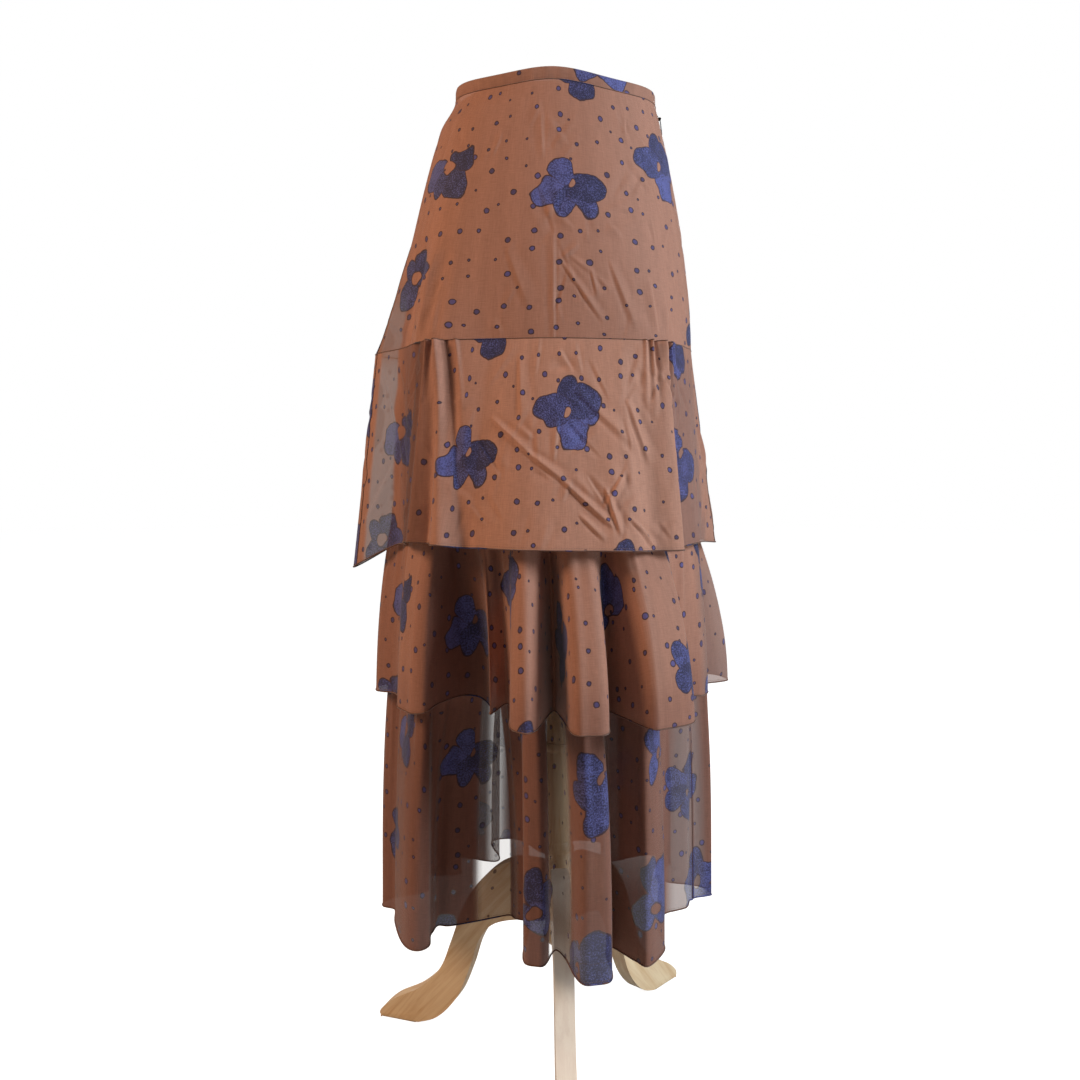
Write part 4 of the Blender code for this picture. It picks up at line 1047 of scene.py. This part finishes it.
def bump(nodes, height, distance, strength, shader):
    node = nodes.add("ShaderNodeBump")
    nodes.join(height, node.inputs["Height"])
    node.inputs["Distance"].default_value = distance
    node.inputs["Strength"].default_value = strength
    nodes.join(node.outputs[0], shader.inputs["Normal"])


def georgette(cloth, name="georgette_cloth", tone=None):
    """Printed georgette, see-through between its motifs and denser in them.

    Rolled or doubled cloth lets next to nothing through, and its tone is a share of the plain cloth's.
    """
    if name in bpy.data.materials:
        return bpy.data.materials[name]
    finish = {"Sheen_Weight": 0.30, "Sheen_Roughness": 0.40, "Specular_IOR_Level": 0.25}
    made, nodes, shader = new_material(name, 0.68, **finish)
    cut = nodes.place_on_cut()
    thin, painted_shade_amount = (
        nodes.add("ShaderNodeAttribute", attribute_name=label).outputs["Fac"] for label in ("sheer", "single")
    )
    dots = use_group(nodes, dots_group(), Cut=cut, Spacing=cloth.dot_spacing)
    flowers = use_group(nodes, flowers_group(), Cut=cut, Spacing=cloth.flower_spacing)
    threads = use_group(nodes, crepe_group(), Cut=cut)
    # the plain cloth, streaked down the warp, darkened and reddened by painted shade, and lightened by
    # painted light where its amount is below 0
    streak = nodes.span(threads["Streak"], 0.40, 1.60)
    streak = nodes.times(streak, nodes.span(painted_shade_amount, 1.0, cloth.single, clamp=False))
    deep = nodes.times(streak, nodes.span(painted_shade_amount, 1.0, PAINTED_SHADE_REDNESS, clamp=False))
    ground = [part * (tone or 1.0) for part in cloth.ground]
    ground = nodes.colour(1.0, ground, nodes.together(streak, deep, deep), "MULTIPLY")
    ground = nodes.colour(nodes.times(thin, VEIL_SHARE, clamp=True), ground, cloth.veil)
    # the print on it
    spotted = nodes.colour(dots["Dot"], ground, cloth.rim)
    spotted = nodes.colour(dots["Centre"], spotted, cloth.dot)
    petals = nodes.colour(flowers["Tone"], cloth.petal_dark, cloth.petal)
    petals = nodes.colour(flowers["Rim"], petals, cloth.rim)
    nodes.join(nodes.colour(flowers["Flower"], spotted, petals), shader.inputs["Base Color"])
    if tone:
        shader.inputs["Alpha"].default_value = DOUBLED_COVER
    else:
        printed = nodes.math("MAXIMUM", dots["Dot"], flowers["Flower"])
        plain = nodes.span(thin, cloth.cover, cloth.sheer_cover, clamp=False)
        thin_print = 0.5 * (cloth.print_cover + cloth.sheer_cover) - THIN_PRINT_LOSS
        hidden = nodes.blend(printed, plain, nodes.span(thin, cloth.print_cover, thin_print))
        shadow = nodes.add("ShaderNodeLightPath").outputs["Is Shadow Ray"]
        nodes.join(nodes.times(hidden, nodes.span(shadow, 1.0, cloth.shade)), shader.inputs["Alpha"])
    bump(nodes, threads["Height"], 0.00020, 0.60, shader)
    return made


def rolled_georgette(cloth):
    """Rolled hems and seam ridges, which look dark against the light."""
    return georgette(cloth, "georgette_rolled", ROLLED_TONE)


def doubled_georgette(cloth):
    """The band, where the cloth lies on itself."""
    return georgette(cloth, "georgette_doubled", DOUBLED_TONE)


def thread(cloth):
    """Spun thread, a little darker than the cloth."""
    if "sewing_thread" in bpy.data.materials:
        return bpy.data.materials["sewing_thread"]
    made, nodes, shader = new_material("sewing_thread", 0.6, Sheen_Weight=0.2)
    twist = nodes.noise(nodes.own_place(), 1500.0, 2.0)[0]
    dark, light = ([part * share for part in cloth.ground] for share in (0.30, 0.75))
    nodes.join(nodes.colour(twist, dark, light), shader.inputs["Base Color"])
    return made


# ---------------------------------------------------------------- making the cloth pieces
SKIRT = "skirt"
SEAM_RADIUS, SIDE_SEAM_RADIUS = 0.0006, 0.0007  # the ridges where a layer is sewn on, and down its sides
SEAM_ALLOWANCE = 6  # columns of cloth turned in at a side seam
ROLLED, SEWN = 1, 2  # a panel's materials after its plain one, by number


def declare(piece, replaced=None):
    """The skirt's body carries the piece, which takes the place of a solid."""
    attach(piece, SKIRT)
    if replaced:
        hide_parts(replaced)


def two_panels(cloth, name, grid, hem=True, marks=(-90.0, 360.0), measured_row=-1):
    """A layer that goes all round, as its front and its back panel, with their seams and rolled hem.

    marks holds the first mark and how many go round, in the terms of THIN_PLACES.
    """
    columns = grid.shape[1]
    along, fallen = cut_coordinates(grid, measured_row)
    around = np.arange(columns + 1) / (columns / marks[1]) + marks[0]
    grid, fallen, outs = (np.concatenate([ring, ring[:, :1]], 1) for ring in (grid, fallen, outward(grid)))
    surfaces = (georgette(cloth), rolled_georgette(cloth), thread(cloth))
    for side, part in (("front", slice(0, columns // 2 + 1)), ("back", slice(columns // 2, columns + 1))):
        panel, fall, out, run = grid[:, part], fallen[:, part], outs[:, part], along[part]
        cut = np.stack(np.broadcast_arrays(run[None, :], -fall), -1)
        heights = panel[..., 2]
        # how sheer the cloth is, and how much shade, or light below 0, is painted into its colour
        tables = (THIN_PLACES.get(name, ()), PAINTED_SHADE_PLACES.get(name, ()))
        thin, painted_shade_amounts = (amounts(places, around[part], heights) for places in tables)
        faces = Faces()
        faces.add_grid(panel, cut, sheer=thin, single=painted_shade_amounts)
        if hem:
            faces.add_cord(panel[-1], cloth.hem_width / 2, run, ROLLED)
            stitched = cloth.hem_width * 1.5 / (heights[-2] - heights[-1])[:, None]
            faces.add_stitches(mix(panel[-1], panel[-2], stitched), out[-1], run, SEWN)
        faces.add_cord(panel[0], SEAM_RADIUS, run, ROLLED)
        for column, allowance in ((0, slice(0, SEAM_ALLOWANCE)), (-1, slice(-SEAM_ALLOWANCE - 1, None))):
            faces.add_cord(panel[:, column], SIDE_SEAM_RADIUS, -fall[:, column], ROLLED, lift=out[:, column])
            inner = panel[:, allowance] - out[:, allowance] * SIDE_SEAM_RADIUS
            faces.add_grid(inner, cut[:, allowance])
        piece = faces.make(f"{name}_{side}_cloth", *surfaces)
        declare(piece, f"{name}_{side}")


def folded_flounce(cloth, name, grid):
    """A flounce that is gathered all round, whose thin places are counted in columns of its folds."""
    two_panels(cloth, name, grid, marks=(0.0, float(FOLDED_COLUMNS)))


class SKIRT_OT_underskirts(bpy.types.Operator):
    """The two base layers that carry the middle and the lowest flounce"""

    bl_idname = "skirt.underskirts"
    bl_label = "Underskirts"

    def execute(self, context):
        cloth = context.scene.skirt_cloth
        two_panels(cloth, "underskirt_upper", underskirt_upper_grid(), hem=False)
        two_panels(cloth, "underskirt_lower", underskirt_lower_grid(), hem=False)
        return {"FINISHED"}


class SKIRT_OT_yoke(bpy.types.Operator):
    """The A-line hip yoke, front and back"""

    bl_idname = "skirt.yoke"
    bl_label = "Hip yoke"

    def execute(self, context):
        cloth = context.scene.skirt_cloth
        two_panels(cloth, "yoke", yoke_grid(), hem=False, measured_row=PLAIN_ROWS // 2)
        return {"FINISHED"}


class SKIRT_OT_flounce_1(bpy.types.Operator):
    """The upper flounce, gathered in places into the yoke's seam"""

    bl_idname = "skirt.flounce_1"
    bl_label = "Upper flounce"

    def execute(self, context):
        cloth = context.scene.skirt_cloth
        two_panels(cloth, "flounce_1", flounce_1_grid())
        return {"FINISHED"}


class SKIRT_OT_flounce_2(bpy.types.Operator):
    """The middle flounce, gathered all round"""

    bl_idname = "skirt.flounce_2"
    bl_label = "Middle flounce"

    def execute(self, context):
        span = (FLOUNCE_2_SEAM_Z, FLOUNCE_2_HEM_Z, FLOUNCE_2_SPREAD)
        folds = (FLOUNCE_2_FOLDS, FLOUNCE_2_ROUNDED, span, base_low_radius, FLOUNCE_2_GATHERING)
        cloth = context.scene.skirt_cloth
        folded_flounce(cloth, "flounce_2", folded_grid(*folds, FLOUNCE_2_ROWS))
        return {"FINISHED"}


class SKIRT_OT_flounce_3(bpy.types.Operator):
    """The lowest flounce, gathered all round"""

    bl_idname = "skirt.flounce_3"
    bl_label = "Lowest flounce"

    def execute(self, context):
        span = (FLOUNCE_3_SEAM_Z, FLOUNCE_3_HEM_Z, FLOUNCE_3_SPREAD)
        folds = (FLOUNCE_3_FOLDS, FLOUNCE_3_ROUNDED, span, lower_seam_radius, FLOUNCE_3_GATHERING)
        cloth = context.scene.skirt_cloth
        folded_flounce(cloth, "flounce_3", folded_grid(*folds, FLOUNCE_3_ROWS))
        return {"FINISHED"}


# The band's section, from the inside low edge over the fold to the outside low edge: outwards, and up.
BAND_SECTION = (
    (0.0004, 0.0), (0.0004, 0.0125), (0.0007, 0.0142), (0.0012, 0.0149), (0.0017, 0.0144), (0.002, 0.013),
    (0.0021, 0.008), (0.002, 0.0006), (0.0017, 0.0),
)
BAND_FOLD = 3  # the section's point at the top of the fold
BAND_GAP = 0.25  # degrees from the zip's middle to each end
BAND_COLUMNS = 560
BAND_CUT_START, BAND_CUT_STEP = 0.0300, 0.0155  # where the inside lies on the cut, and the outside above it
BAND_MEAN_RADIUS = 0.108


class SKIRT_OT_waistband(bpy.types.Operator):
    """The folded waistband, open at the zip, with its back end standing up beside it"""

    bl_idname = "skirt.waistband"
    bl_label = "Waistband"

    def execute(self, context):
        angle = np.linspace(ZIP_ANGLE + BAND_GAP, ZIP_ANGLE + 360.0 - BAND_GAP, BAND_COLUMNS)
        run = np.radians(angle) * BAND_MEAN_RADIUS
        bottom = BAND_BOTTOM_Z + waist_rise(angle)
        past_zip = turned(angle - ZIP_ANGLE, 0.0)
        tab = BAND_TAB_RISE * (1.0 - smooth_step(BAND_TAB_DEGREES - 2.0, BAND_TAB_DEGREES + 1.5, past_zip))
        ripple = 0.00025 * np.sin(run / 0.0031) + 0.0003 * np.sin(run / 0.0127 + 1.0)
        rows, cuts = [], []
        for index, (out, up) in enumerate(BAND_SECTION):
            outside = index > BAND_FOLD
            z = bottom + up * (1.0 + tab / (BAND_TOP_Z - BAND_BOTTOM_Z))
            radius = waist_radius(angle, z) + WAIST_EASE + out + ripple * outside * 0.6
            rows.append(place(angle, radius, z))
            height = BAND_CUT_START + BAND_CUT_STEP * outside - 0.0001 * index + up
            cuts.append(np.stack([run, np.full_like(run, height)], -1))
        rows = np.array(rows)
        faces = Faces()
        faces.add_grid(rows[::-1], np.array(cuts)[::-1])
        sewn = waist_radius(angle, bottom) + WAIST_EASE + BAND_WALL
        faces.add_cord(place(angle, sewn, bottom + 0.0002), 0.0005, run)
        for edge in (rows[:, 0], rows[:, -1]):
            closed = np.stack([edge, np.broadcast_to(edge.mean(0), edge.shape)])
            faces.add_grid(closed, np.zeros((2, len(edge), 2)))
        piece = faces.make("waistband_cloth", doubled_georgette(context.scene.skirt_cloth))
        merge_close(piece)
        declare(piece, "waistband")
        return {"FINISHED"}


# ---------------------------------------------------------------- the zip
# The coil's first and last turn below the band, how far inside the yoke it lies, its wire's radius, and its
# turns' half depth, half width and distance on the cut.
COIL_START, COIL_END, COIL_INSET, COIL_WIRE = 0.014, ZIP_LENGTH - 0.002, 0.0011, 0.00028
COIL_HALF_DEPTH, COIL_HALF_WIDTH, COIL_PITCH = 0.0005, 0.0017, 0.0013
COIL_TURNS, COIL_SIDES = 132, 9


def yoke_place(angle, share, inset):
    z = mix(BAND_BOTTOM_Z - 0.0003, YOKE_SEAM_Z, share) + waist_rise(angle) * (1.0 - share)
    return place(angle, yoke_radius(angle, share) - inset, z)


class SKIRT_OT_zip(bpy.types.Operator):
    """The closed zip in the right side seam: its coil, tapes, slider and pull"""

    bl_idname = "skirt.zip"
    bl_label = "Zip"

    def execute(self, context):
        enamel = zip_enamel()
        for name in ("zip_slider", "zip_pull"):
            dress_node(name, enamel)
        dress_node("zip_tape", tape_weave())
        drop = BAND_BOTTOM_Z - YOKE_SEAM_Z
        turn = np.linspace(0.0, COIL_TURNS, COIL_TURNS * COIL_SIDES + 1)
        share = mix(COIL_START / drop, COIL_END / drop, turn / COIL_TURNS)
        middle = np.array([yoke_place(ZIP_ANGLE, s, COIL_INSET) for s in share])
        around = 2 * np.pi * turn
        out, aside = COIL_HALF_DEPTH * np.sin(around), COIL_HALF_WIDTH * np.cos(around)
        line = middle + np.stack([out, aside, 0 * turn], -1)
        faces = Faces()
        faces.add_cord(line, COIL_WIRE, turn * COIL_PITCH, sides=5)
        declare(faces.make("zip_coil", enamel))
        return {"FINISHED"}


def dress_node(name, surface):
    """Gives a CAD node that keeps its shape its finish."""
    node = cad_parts[name]
    if not node.data.materials:
        node.data.materials.append(surface)
    for index in range(len(node.material_slots)):
        node.material_slots[index].link = "OBJECT"
        node.material_slots[index].material = surface


def zip_enamel():
    """Dark enamel, worn to a warmer metal in small places."""
    made, nodes, shader = new_material("zip_enamel", 0.32, Metallic=0.55)
    where = nodes.own_place()
    wear = nodes.step(0.58, 0.72, nodes.noise(where, 900.0, 4.0, 0.6)[0])
    nodes.join(nodes.colour(wear, (0.022, 0.017, 0.016), (0.12, 0.09, 0.075)), shader.inputs["Base Color"])
    nodes.join(nodes.span(nodes.noise(where, 500.0, 2.0)[0], 0.24, 0.46), shader.inputs["Roughness"])
    return made


def tape_weave():
    """Twilled zip tape."""
    made, nodes, shader = new_material("zip_tape_weave", 0.85, Sheen_Weight=0.2)
    part = nodes.apart(nodes.own_place())
    height = nodes.times(nodes.wave(part[2], 0.0008), nodes.wave(part[1], 0.0006))
    tone = nodes.span(height, 0.4, 0.8)
    nodes.join(nodes.colour(tone, (0.075, 0.042, 0.036), (0.13, 0.075, 0.06)), shader.inputs["Base Color"])
    bump(nodes, height, 0.0002, 0.5, shader)
    return made


# ---------------------------------------------------------------- the form
# The rings that close the form at its top and at its foot, as height and share of the end section's width,
# and the heights of those between them.
FORM_TOP = ((1.1619, 0.0), (1.1619, 0.4), (1.1619, 0.8), (1.1619, 0.97), (1.1612, 0.995))
FORM_LEVELS = (1.1602, 1.158, 1.154, *np.linspace(1.150, 0.805, 44), 0.801, 0.797)
FORM_FOOT = ((0.7951, 0.985), (0.7951, 0.7), (0.7951, 0.3), (0.7951, 0.0))
FORM_SEAM_ROWS = slice(5, -5)
FORM_MEAN_RADIUS = 0.14
FORM_COLUMNS = 192


class SKIRT_OT_form(bpy.types.Operator):
    """The hip form in its jersey cover"""

    bl_idname = "skirt.form"
    bl_label = "Hip form"

    def execute(self, context):
        angle = plain_angles(FORM_COLUMNS)
        rings = [(z, FORM_SECTIONS[0][1:], share) for z, share in FORM_TOP]
        rings += [(z, form_oval(z), 1.0) for z in FORM_LEVELS]
        rings += [(z, FORM_SECTIONS[-1][1:], share) for z, share in FORM_FOOT]
        grid = np.array([place(angle, oval_radius(angle, *oval) * share, z) for z, oval, share in rings])
        cut = np.stack(np.broadcast_arrays(np.radians(angle + 90.0) * FORM_MEAN_RADIUS, grid[..., 2]), -1)
        faces = Faces()
        faces.add_grid(grid, cut, closed=True)
        outs = outward(grid)
        for quarter in (1, 2, 3, 0):
            seam = quarter * len(angle) // 4
            line = grid[FORM_SEAM_ROWS, seam]
            faces.add_cord(line, SEAM_RADIUS, line[:, 2], lift=outs[FORM_SEAM_ROWS, seam])
        piece = faces.make("form_cover", jersey(context.scene.skirt_stand))
        merge_close(piece)
        declare(piece, "form_body")
        return {"FINISHED"}


def jersey(stand):
    """Black stretch jersey with a slight fuzz."""
    made, nodes, shader = new_material("form_jersey_knit", 0.92, Sheen_Weight=0.25, Sheen_Roughness=0.5)
    cut = nodes.place_on_cut()
    part = nodes.apart(cut)
    stitch = nodes.times(nodes.plus(nodes.wave(part[0], 0.0012), nodes.wave(part[1], 0.0009)), 0.25)
    height = nodes.plus(stitch, nodes.noise(cut, 900.0, 3.0, 0.6)[0])
    dark, light = ([part * share for part in stand.jersey] for share in (0.75, 1.6))
    nodes.join(nodes.colour(nodes.step(0.2, 0.9, height), dark, light), shader.inputs["Base Color"])
    bump(nodes, height, 0.0003, 0.5, shader)
    return made


# ---------------------------------------------------------------- the stand
POLE_SIDES = 64
POLE_SHARP, LEG_SHARP = 50.0, 40.0  # edges of more degrees than this stay sharp
PALEST_WOOD = 0.92
FRONT_LEG_PALER = 0.55  # how far the front leg's colour goes towards it, paler than the other legs


def wood(stand, name, turn, paler=0.0):
    """Clear-varnished wood whose grain runs along the direction that the given turn brings upright."""
    finish = {"Coat_Weight": 0.25, "Coat_Roughness": 0.3, "Specular_IOR_Level": 0.4}
    made, nodes, shader = new_material(name, 0.36, **finish)
    mapping = nodes.add("ShaderNodeMapping")
    mapping.inputs["Rotation"].default_value = turn.to_euler()
    nodes.join(nodes.own_place(), mapping.inputs["Vector"])
    light, dark = (mix(np.array(shade), PALEST_WOOD, paler) for shade in (stand.wood, stand.wood_dark))
    grain = use_group(nodes, grain_group(), Along=mapping.outputs[0], Light=light, Dark=dark)
    nodes.join(grain["Colour"], shader.inputs["Base Color"])
    nodes.join(grain["Roughness"], shader.inputs["Roughness"])
    bump(nodes, grain["Height"], 0.0002, 0.35, shader)
    return made


def rounded_profile(profile, amount=0.0008, steps=3):
    """The profile with each inner corner cut round."""
    points = [np.array(profile[0])]
    for before, corner, after in zip(profile, profile[1:], profile[2:]):
        before, corner, after = map(np.array, (before, corner, after))
        into, out = corner - before, after - corner
        cut = min(amount, np.linalg.norm(into) / 2, np.linalg.norm(out) / 2)
        start = corner - into / np.linalg.norm(into) * cut
        end = corner + out / np.linalg.norm(out) * cut
        for step in range(steps + 1):
            t = step / steps
            points.append((1 - t) ** 2 * start + 2 * t * (1 - t) * corner + t * t * end)
    points.append(np.array(profile[-1]))
    return np.array(points)


class SKIRT_OT_pole(bpy.types.Operator):
    """The turned pole and column"""

    bl_idname = "skirt.pole"
    bl_label = "Pole and column"

    def execute(self, context):
        surface = wood(context.scene.skirt_stand, "wood_turned", Matrix.Identity(3))
        turn = 2 * np.pi * np.arange(POLE_SIDES) / POLE_SIDES
        for name, profile in (("pole", POLE_PROFILE), ("column", COLUMN_PROFILE)):
            radius, height = rounded_profile(profile).T[..., None]
            ring = (POLE_X + radius * np.cos(turn), POLE_Y + radius * np.sin(turn), height)
            grid = np.stack(np.broadcast_arrays(*ring), -1)[:, ::-1]
            cut = np.stack(np.broadcast_arrays(turn[::-1] * POLE_MEAN_RADIUS, grid[..., 2]), -1)
            faces = Faces()
            faces.add_grid(grid, cut, closed=True)
            piece = faces.make(f"{name}_wood", surface)
            merge_close(piece)
            piece.data.set_sharp_from_angle(angle=math.radians(POLE_SHARP))
            declare(piece, f"stand_{name}")
        return {"FINISHED"}


def leg_outline():
    """The leg's outline with smooth curves between its points, and its square corners kept."""
    points = np.array(LEG_OUTLINE)
    found = []
    for index, start in enumerate(points):
        following = (index + 1) % len(points)
        end = points[following]
        square, next_square = index in LEG_SQUARE_CORNERS, following in LEG_SQUARE_CORNERS
        before = start - (end - start) if square else points[index - 1]
        after = end + (end - start) if next_square else points[(index + 2) % len(points)]
        steps = 1 if square and next_square else 6
        found += [on_curve(before, start, end, after, step / steps) for step in range(steps)]
    return np.array(found)


def leg_mesh(name, outline, edge_round, angle):
    """A sawn leg with rounded edges, turned to its place round the column."""
    shape = bmesh.new()
    half = LEG_THICKNESS / 2
    near, far = ([shape.verts.new((x, y, z)) for x, z in outline] for y in (-half, half))
    sides = [shape.faces.new(near[::-1]), shape.faces.new(far)]
    for i in range(len(outline)):
        j = (i + 1) % len(outline)
        shape.faces.new((near[i], near[j], far[j], far[i]))
    rim = [edge for face in sides for edge in face.edges]
    rounding = {"offset": edge_round, "segments": 4, "profile": 0.5, "affect": "EDGES", "clamp_overlap": True}
    bmesh.ops.bevel(shape, geom=rim, **rounding)
    bmesh.ops.recalc_face_normals(shape, faces=shape.faces)
    cuts = shape.loops.layers.uv.new("cut")
    for face in shape.faces:
        for loop in face.loops:
            x, _, z = loop.vert.co
            loop[cuts].uv = (z * 0.82 + x * 0.57, x * 0.82 - z * 0.57)
    turn = Matrix.Rotation(math.radians(angle - 90.0), 4, "Z")
    bmesh.ops.transform(shape, matrix=Matrix.Translation((POLE_X, POLE_Y, 0.0)) @ turn, verts=shape.verts)
    data = bpy.data.meshes.new(name)
    shape.to_mesh(data)
    shape.free()
    return data


class SKIRT_OT_legs(bpy.types.Operator):
    """The three sawn legs, with their edges rounded"""

    bl_idname = "skirt.legs"
    bl_label = "Legs"

    def execute(self, context):
        stand = context.scene.skirt_stand
        outline = leg_outline()
        slope = Matrix.Rotation(math.radians(LEG_SLOPE), 3, "Y")
        for side, angle in LEG_ANGLES.items():
            data = leg_mesh(f"leg_{side}_wood", outline, stand.edge_round, angle)
            along = slope @ Matrix.Rotation(math.radians(90.0 - angle), 3, "Z")
            paler = FRONT_LEG_PALER if side == "front" else 0.0
            data.materials.append(wood(stand, f"wood_leg_{side}", along, paler))
            data.shade_smooth()
            data.set_sharp_from_angle(angle=math.radians(LEG_SHARP))
            declare(add_piece(f"leg_{side}_wood", data), f"stand_leg_{side}")
        return {"FINISHED"}


# ---------------------------------------------------------------- stage and camera
WHITE = (1.0, 1.0, 1.0)
FLOOR_RADIUS = 14.0
LIGHTS_AIM = (POLE_X, POLE_Y, 0.92)
FLOOR_SIDES = 96
CAMERA_DISTANCE, CAMERA_HEIGHT = 1.2375, 0.70
# The lens, in pixels of a square picture: the picture's side, the focal length, how far the picture's middle
# lies below the horizon, and how far the pole lies right of its middle.
PICTURE_SIDE, FOCAL_LENGTH, PICTURE_DROP, POLE_ASIDE = 1080.0, 1000.0, 60.0, 18.5
SENSOR_MILLIMETRES = 36.0


def area_light(name, location, size, watts, colour):
    data = bpy.data.lights.new(name, "AREA")
    data.shape = "DISK"
    data.size, data.energy, data.color = size, watts, colour
    light = bpy.data.objects.new(name, data)
    light.location = location
    light.rotation_euler = (Vector(LIGHTS_AIM) - Vector(location)).to_track_quat("-Z", "Y").to_euler()
    bpy.context.scene.collection.objects.link(light)


def floor_paper(stage):
    """Matt pale paper, which takes soft shadows but stays near white in view."""
    made, nodes, shader = new_material("floor_paper", 0.9)
    mottle = nodes.span(nodes.noise(nodes.own_place(), 6.0, 3.0)[0], 0.97, 1.0)
    mottle = nodes.together(mottle, mottle, mottle)
    nodes.join(nodes.colour(1.0, stage.floor, mottle, "MULTIPLY"), shader.inputs["Base Color"])
    glow = nodes.add("ShaderNodeEmission")
    in_view = nodes.add("ShaderNodeLightPath").outputs["Is Camera Ray"]
    nodes.join(WHITE, glow.inputs["Color"])
    nodes.join(nodes.times(in_view, stage.floor_glow), glow.inputs["Strength"])
    both = nodes.add("ShaderNodeAddShader")
    nodes.join(shader.outputs[0], both.inputs[0])
    nodes.join(glow.outputs[0], both.inputs[1])
    nodes.join(both.outputs[0], nodes.tree.nodes["Material Output"].inputs[0])
    return made


def studio_world(stage):
    """White where the camera sees it, and a faint cool light on everything."""
    world = bpy.data.worlds.new("studio")
    world.use_nodes = True
    nodes = Nodes(world.node_tree)
    seen, lit = world.node_tree.nodes["Background"], nodes.add("ShaderNodeBackground")
    for background, colour, strength in ((seen, WHITE, 1.0), (lit, (0.88, 0.94, 1.0), stage.sky)):
        nodes.join(colour, background.inputs["Color"])
        nodes.join(strength, background.inputs["Strength"])
    both = nodes.add("ShaderNodeMixShader")
    in_view = nodes.add("ShaderNodeLightPath").outputs["Is Camera Ray"]
    for given, socket in zip((in_view, lit.outputs[0], seen.outputs[0]), both.inputs):
        nodes.join(given, socket)
    nodes.join(both.outputs[0], world.node_tree.nodes["World Output"].inputs[0])
    return world


class SKIRT_OT_stage(bpy.types.Operator):
    """The pale floor, the soft lights and the camera"""

    bl_idname = "skirt.stage"
    bl_label = "Stage"

    def execute(self, context):
        scene = context.scene
        stage = scene.skirt_stage
        data = bpy.data.meshes.new("studio_floor")
        turns = np.linspace(0.0, 2 * math.pi, FLOOR_SIDES, endpoint=False)
        rim = [(FLOOR_RADIUS * math.cos(a), FLOOR_RADIUS * math.sin(a), 0.0) for a in turns]
        data.from_pydata(rim, [], [tuple(range(len(rim)))])
        data.materials.append(floor_paper(stage))
        add_piece("studio_floor", data)
        scene.world = studio_world(stage)
        area_light("window_light", (2.05, -0.85, 1.60), 1.1, stage.window, (0.84, 0.94, 1.0))
        area_light("warm_light", (-1.90, -0.85, 1.90), 1.1, stage.warm, (1.0, 0.68, 0.43))
        area_light("rear_light", (0.4, 2.4, 1.9), 1.2, stage.rear, (0.92, 0.96, 1.0))
        scene.view_settings.view_transform = "Standard"

        lens = bpy.data.cameras.new("camera")
        lens.sensor_width = SENSOR_MILLIMETRES
        lens.lens = FOCAL_LENGTH / PICTURE_SIDE * SENSOR_MILLIMETRES
        lens.shift_y = -PICTURE_DROP / PICTURE_SIDE
        camera = bpy.data.objects.new("camera", lens)
        camera.location = (POLE_X, POLE_Y - CAMERA_DISTANCE, CAMERA_HEIGHT)
        camera.rotation_euler = (math.radians(90.0), 0.0, math.atan(POLE_ASIDE / FOCAL_LENGTH))
        scene.collection.objects.link(camera)
        scene.camera = camera
        return {"FINISHED"}


# ---------------------------------------------------------------- the sidebar, and the run
class SKIRT_PT_panel(bpy.types.Panel):
    """Settings and makers of the skirt"""

    bl_idname = "SKIRT_PT_panel"
    bl_label = "Tiered skirt"
    bl_space_type = "VIEW_3D"
    bl_region_type = "UI"
    bl_category = "Skirt"

    def draw(self, context):
        layout = self.layout
        for group in (context.scene.skirt_cloth, context.scene.skirt_stand, context.scene.skirt_stage):
            box = layout.box()
            for name in group.__annotations__:
                box.prop(group, name)
        for operator in OPERATORS:
            layout.operator(operator.bl_idname)


OPERATORS = (
    SKIRT_OT_stage,
    SKIRT_OT_waistband,
    SKIRT_OT_yoke,
    SKIRT_OT_flounce_1,
    SKIRT_OT_underskirts,
    SKIRT_OT_flounce_2,
    SKIRT_OT_flounce_3,
    SKIRT_OT_zip,
    SKIRT_OT_form,
    SKIRT_OT_pole,
    SKIRT_OT_legs,
)
CLASSES = (SkirtClothSettings, SkirtStandSettings, SkirtStageSettings, *OPERATORS, SKIRT_PT_panel)


def register():
    for kind in CLASSES:
        bpy.utils.register_class(kind)
    bpy.types.Scene.skirt_cloth = PointerProperty(type=SkirtClothSettings)
    bpy.types.Scene.skirt_stand = PointerProperty(type=SkirtStandSettings)
    bpy.types.Scene.skirt_stage = PointerProperty(type=SkirtStageSettings)


def unregister():
    del bpy.types.Scene.skirt_cloth, bpy.types.Scene.skirt_stand, bpy.types.Scene.skirt_stage
    for kind in reversed(CLASSES):
        bpy.utils.unregister_class(kind)


def main():
    register()
    for operator in OPERATORS:
        getattr(bpy.ops.skirt, operator.bl_idname.removeprefix("skirt."))()


if __name__ == "__main__":
    main()
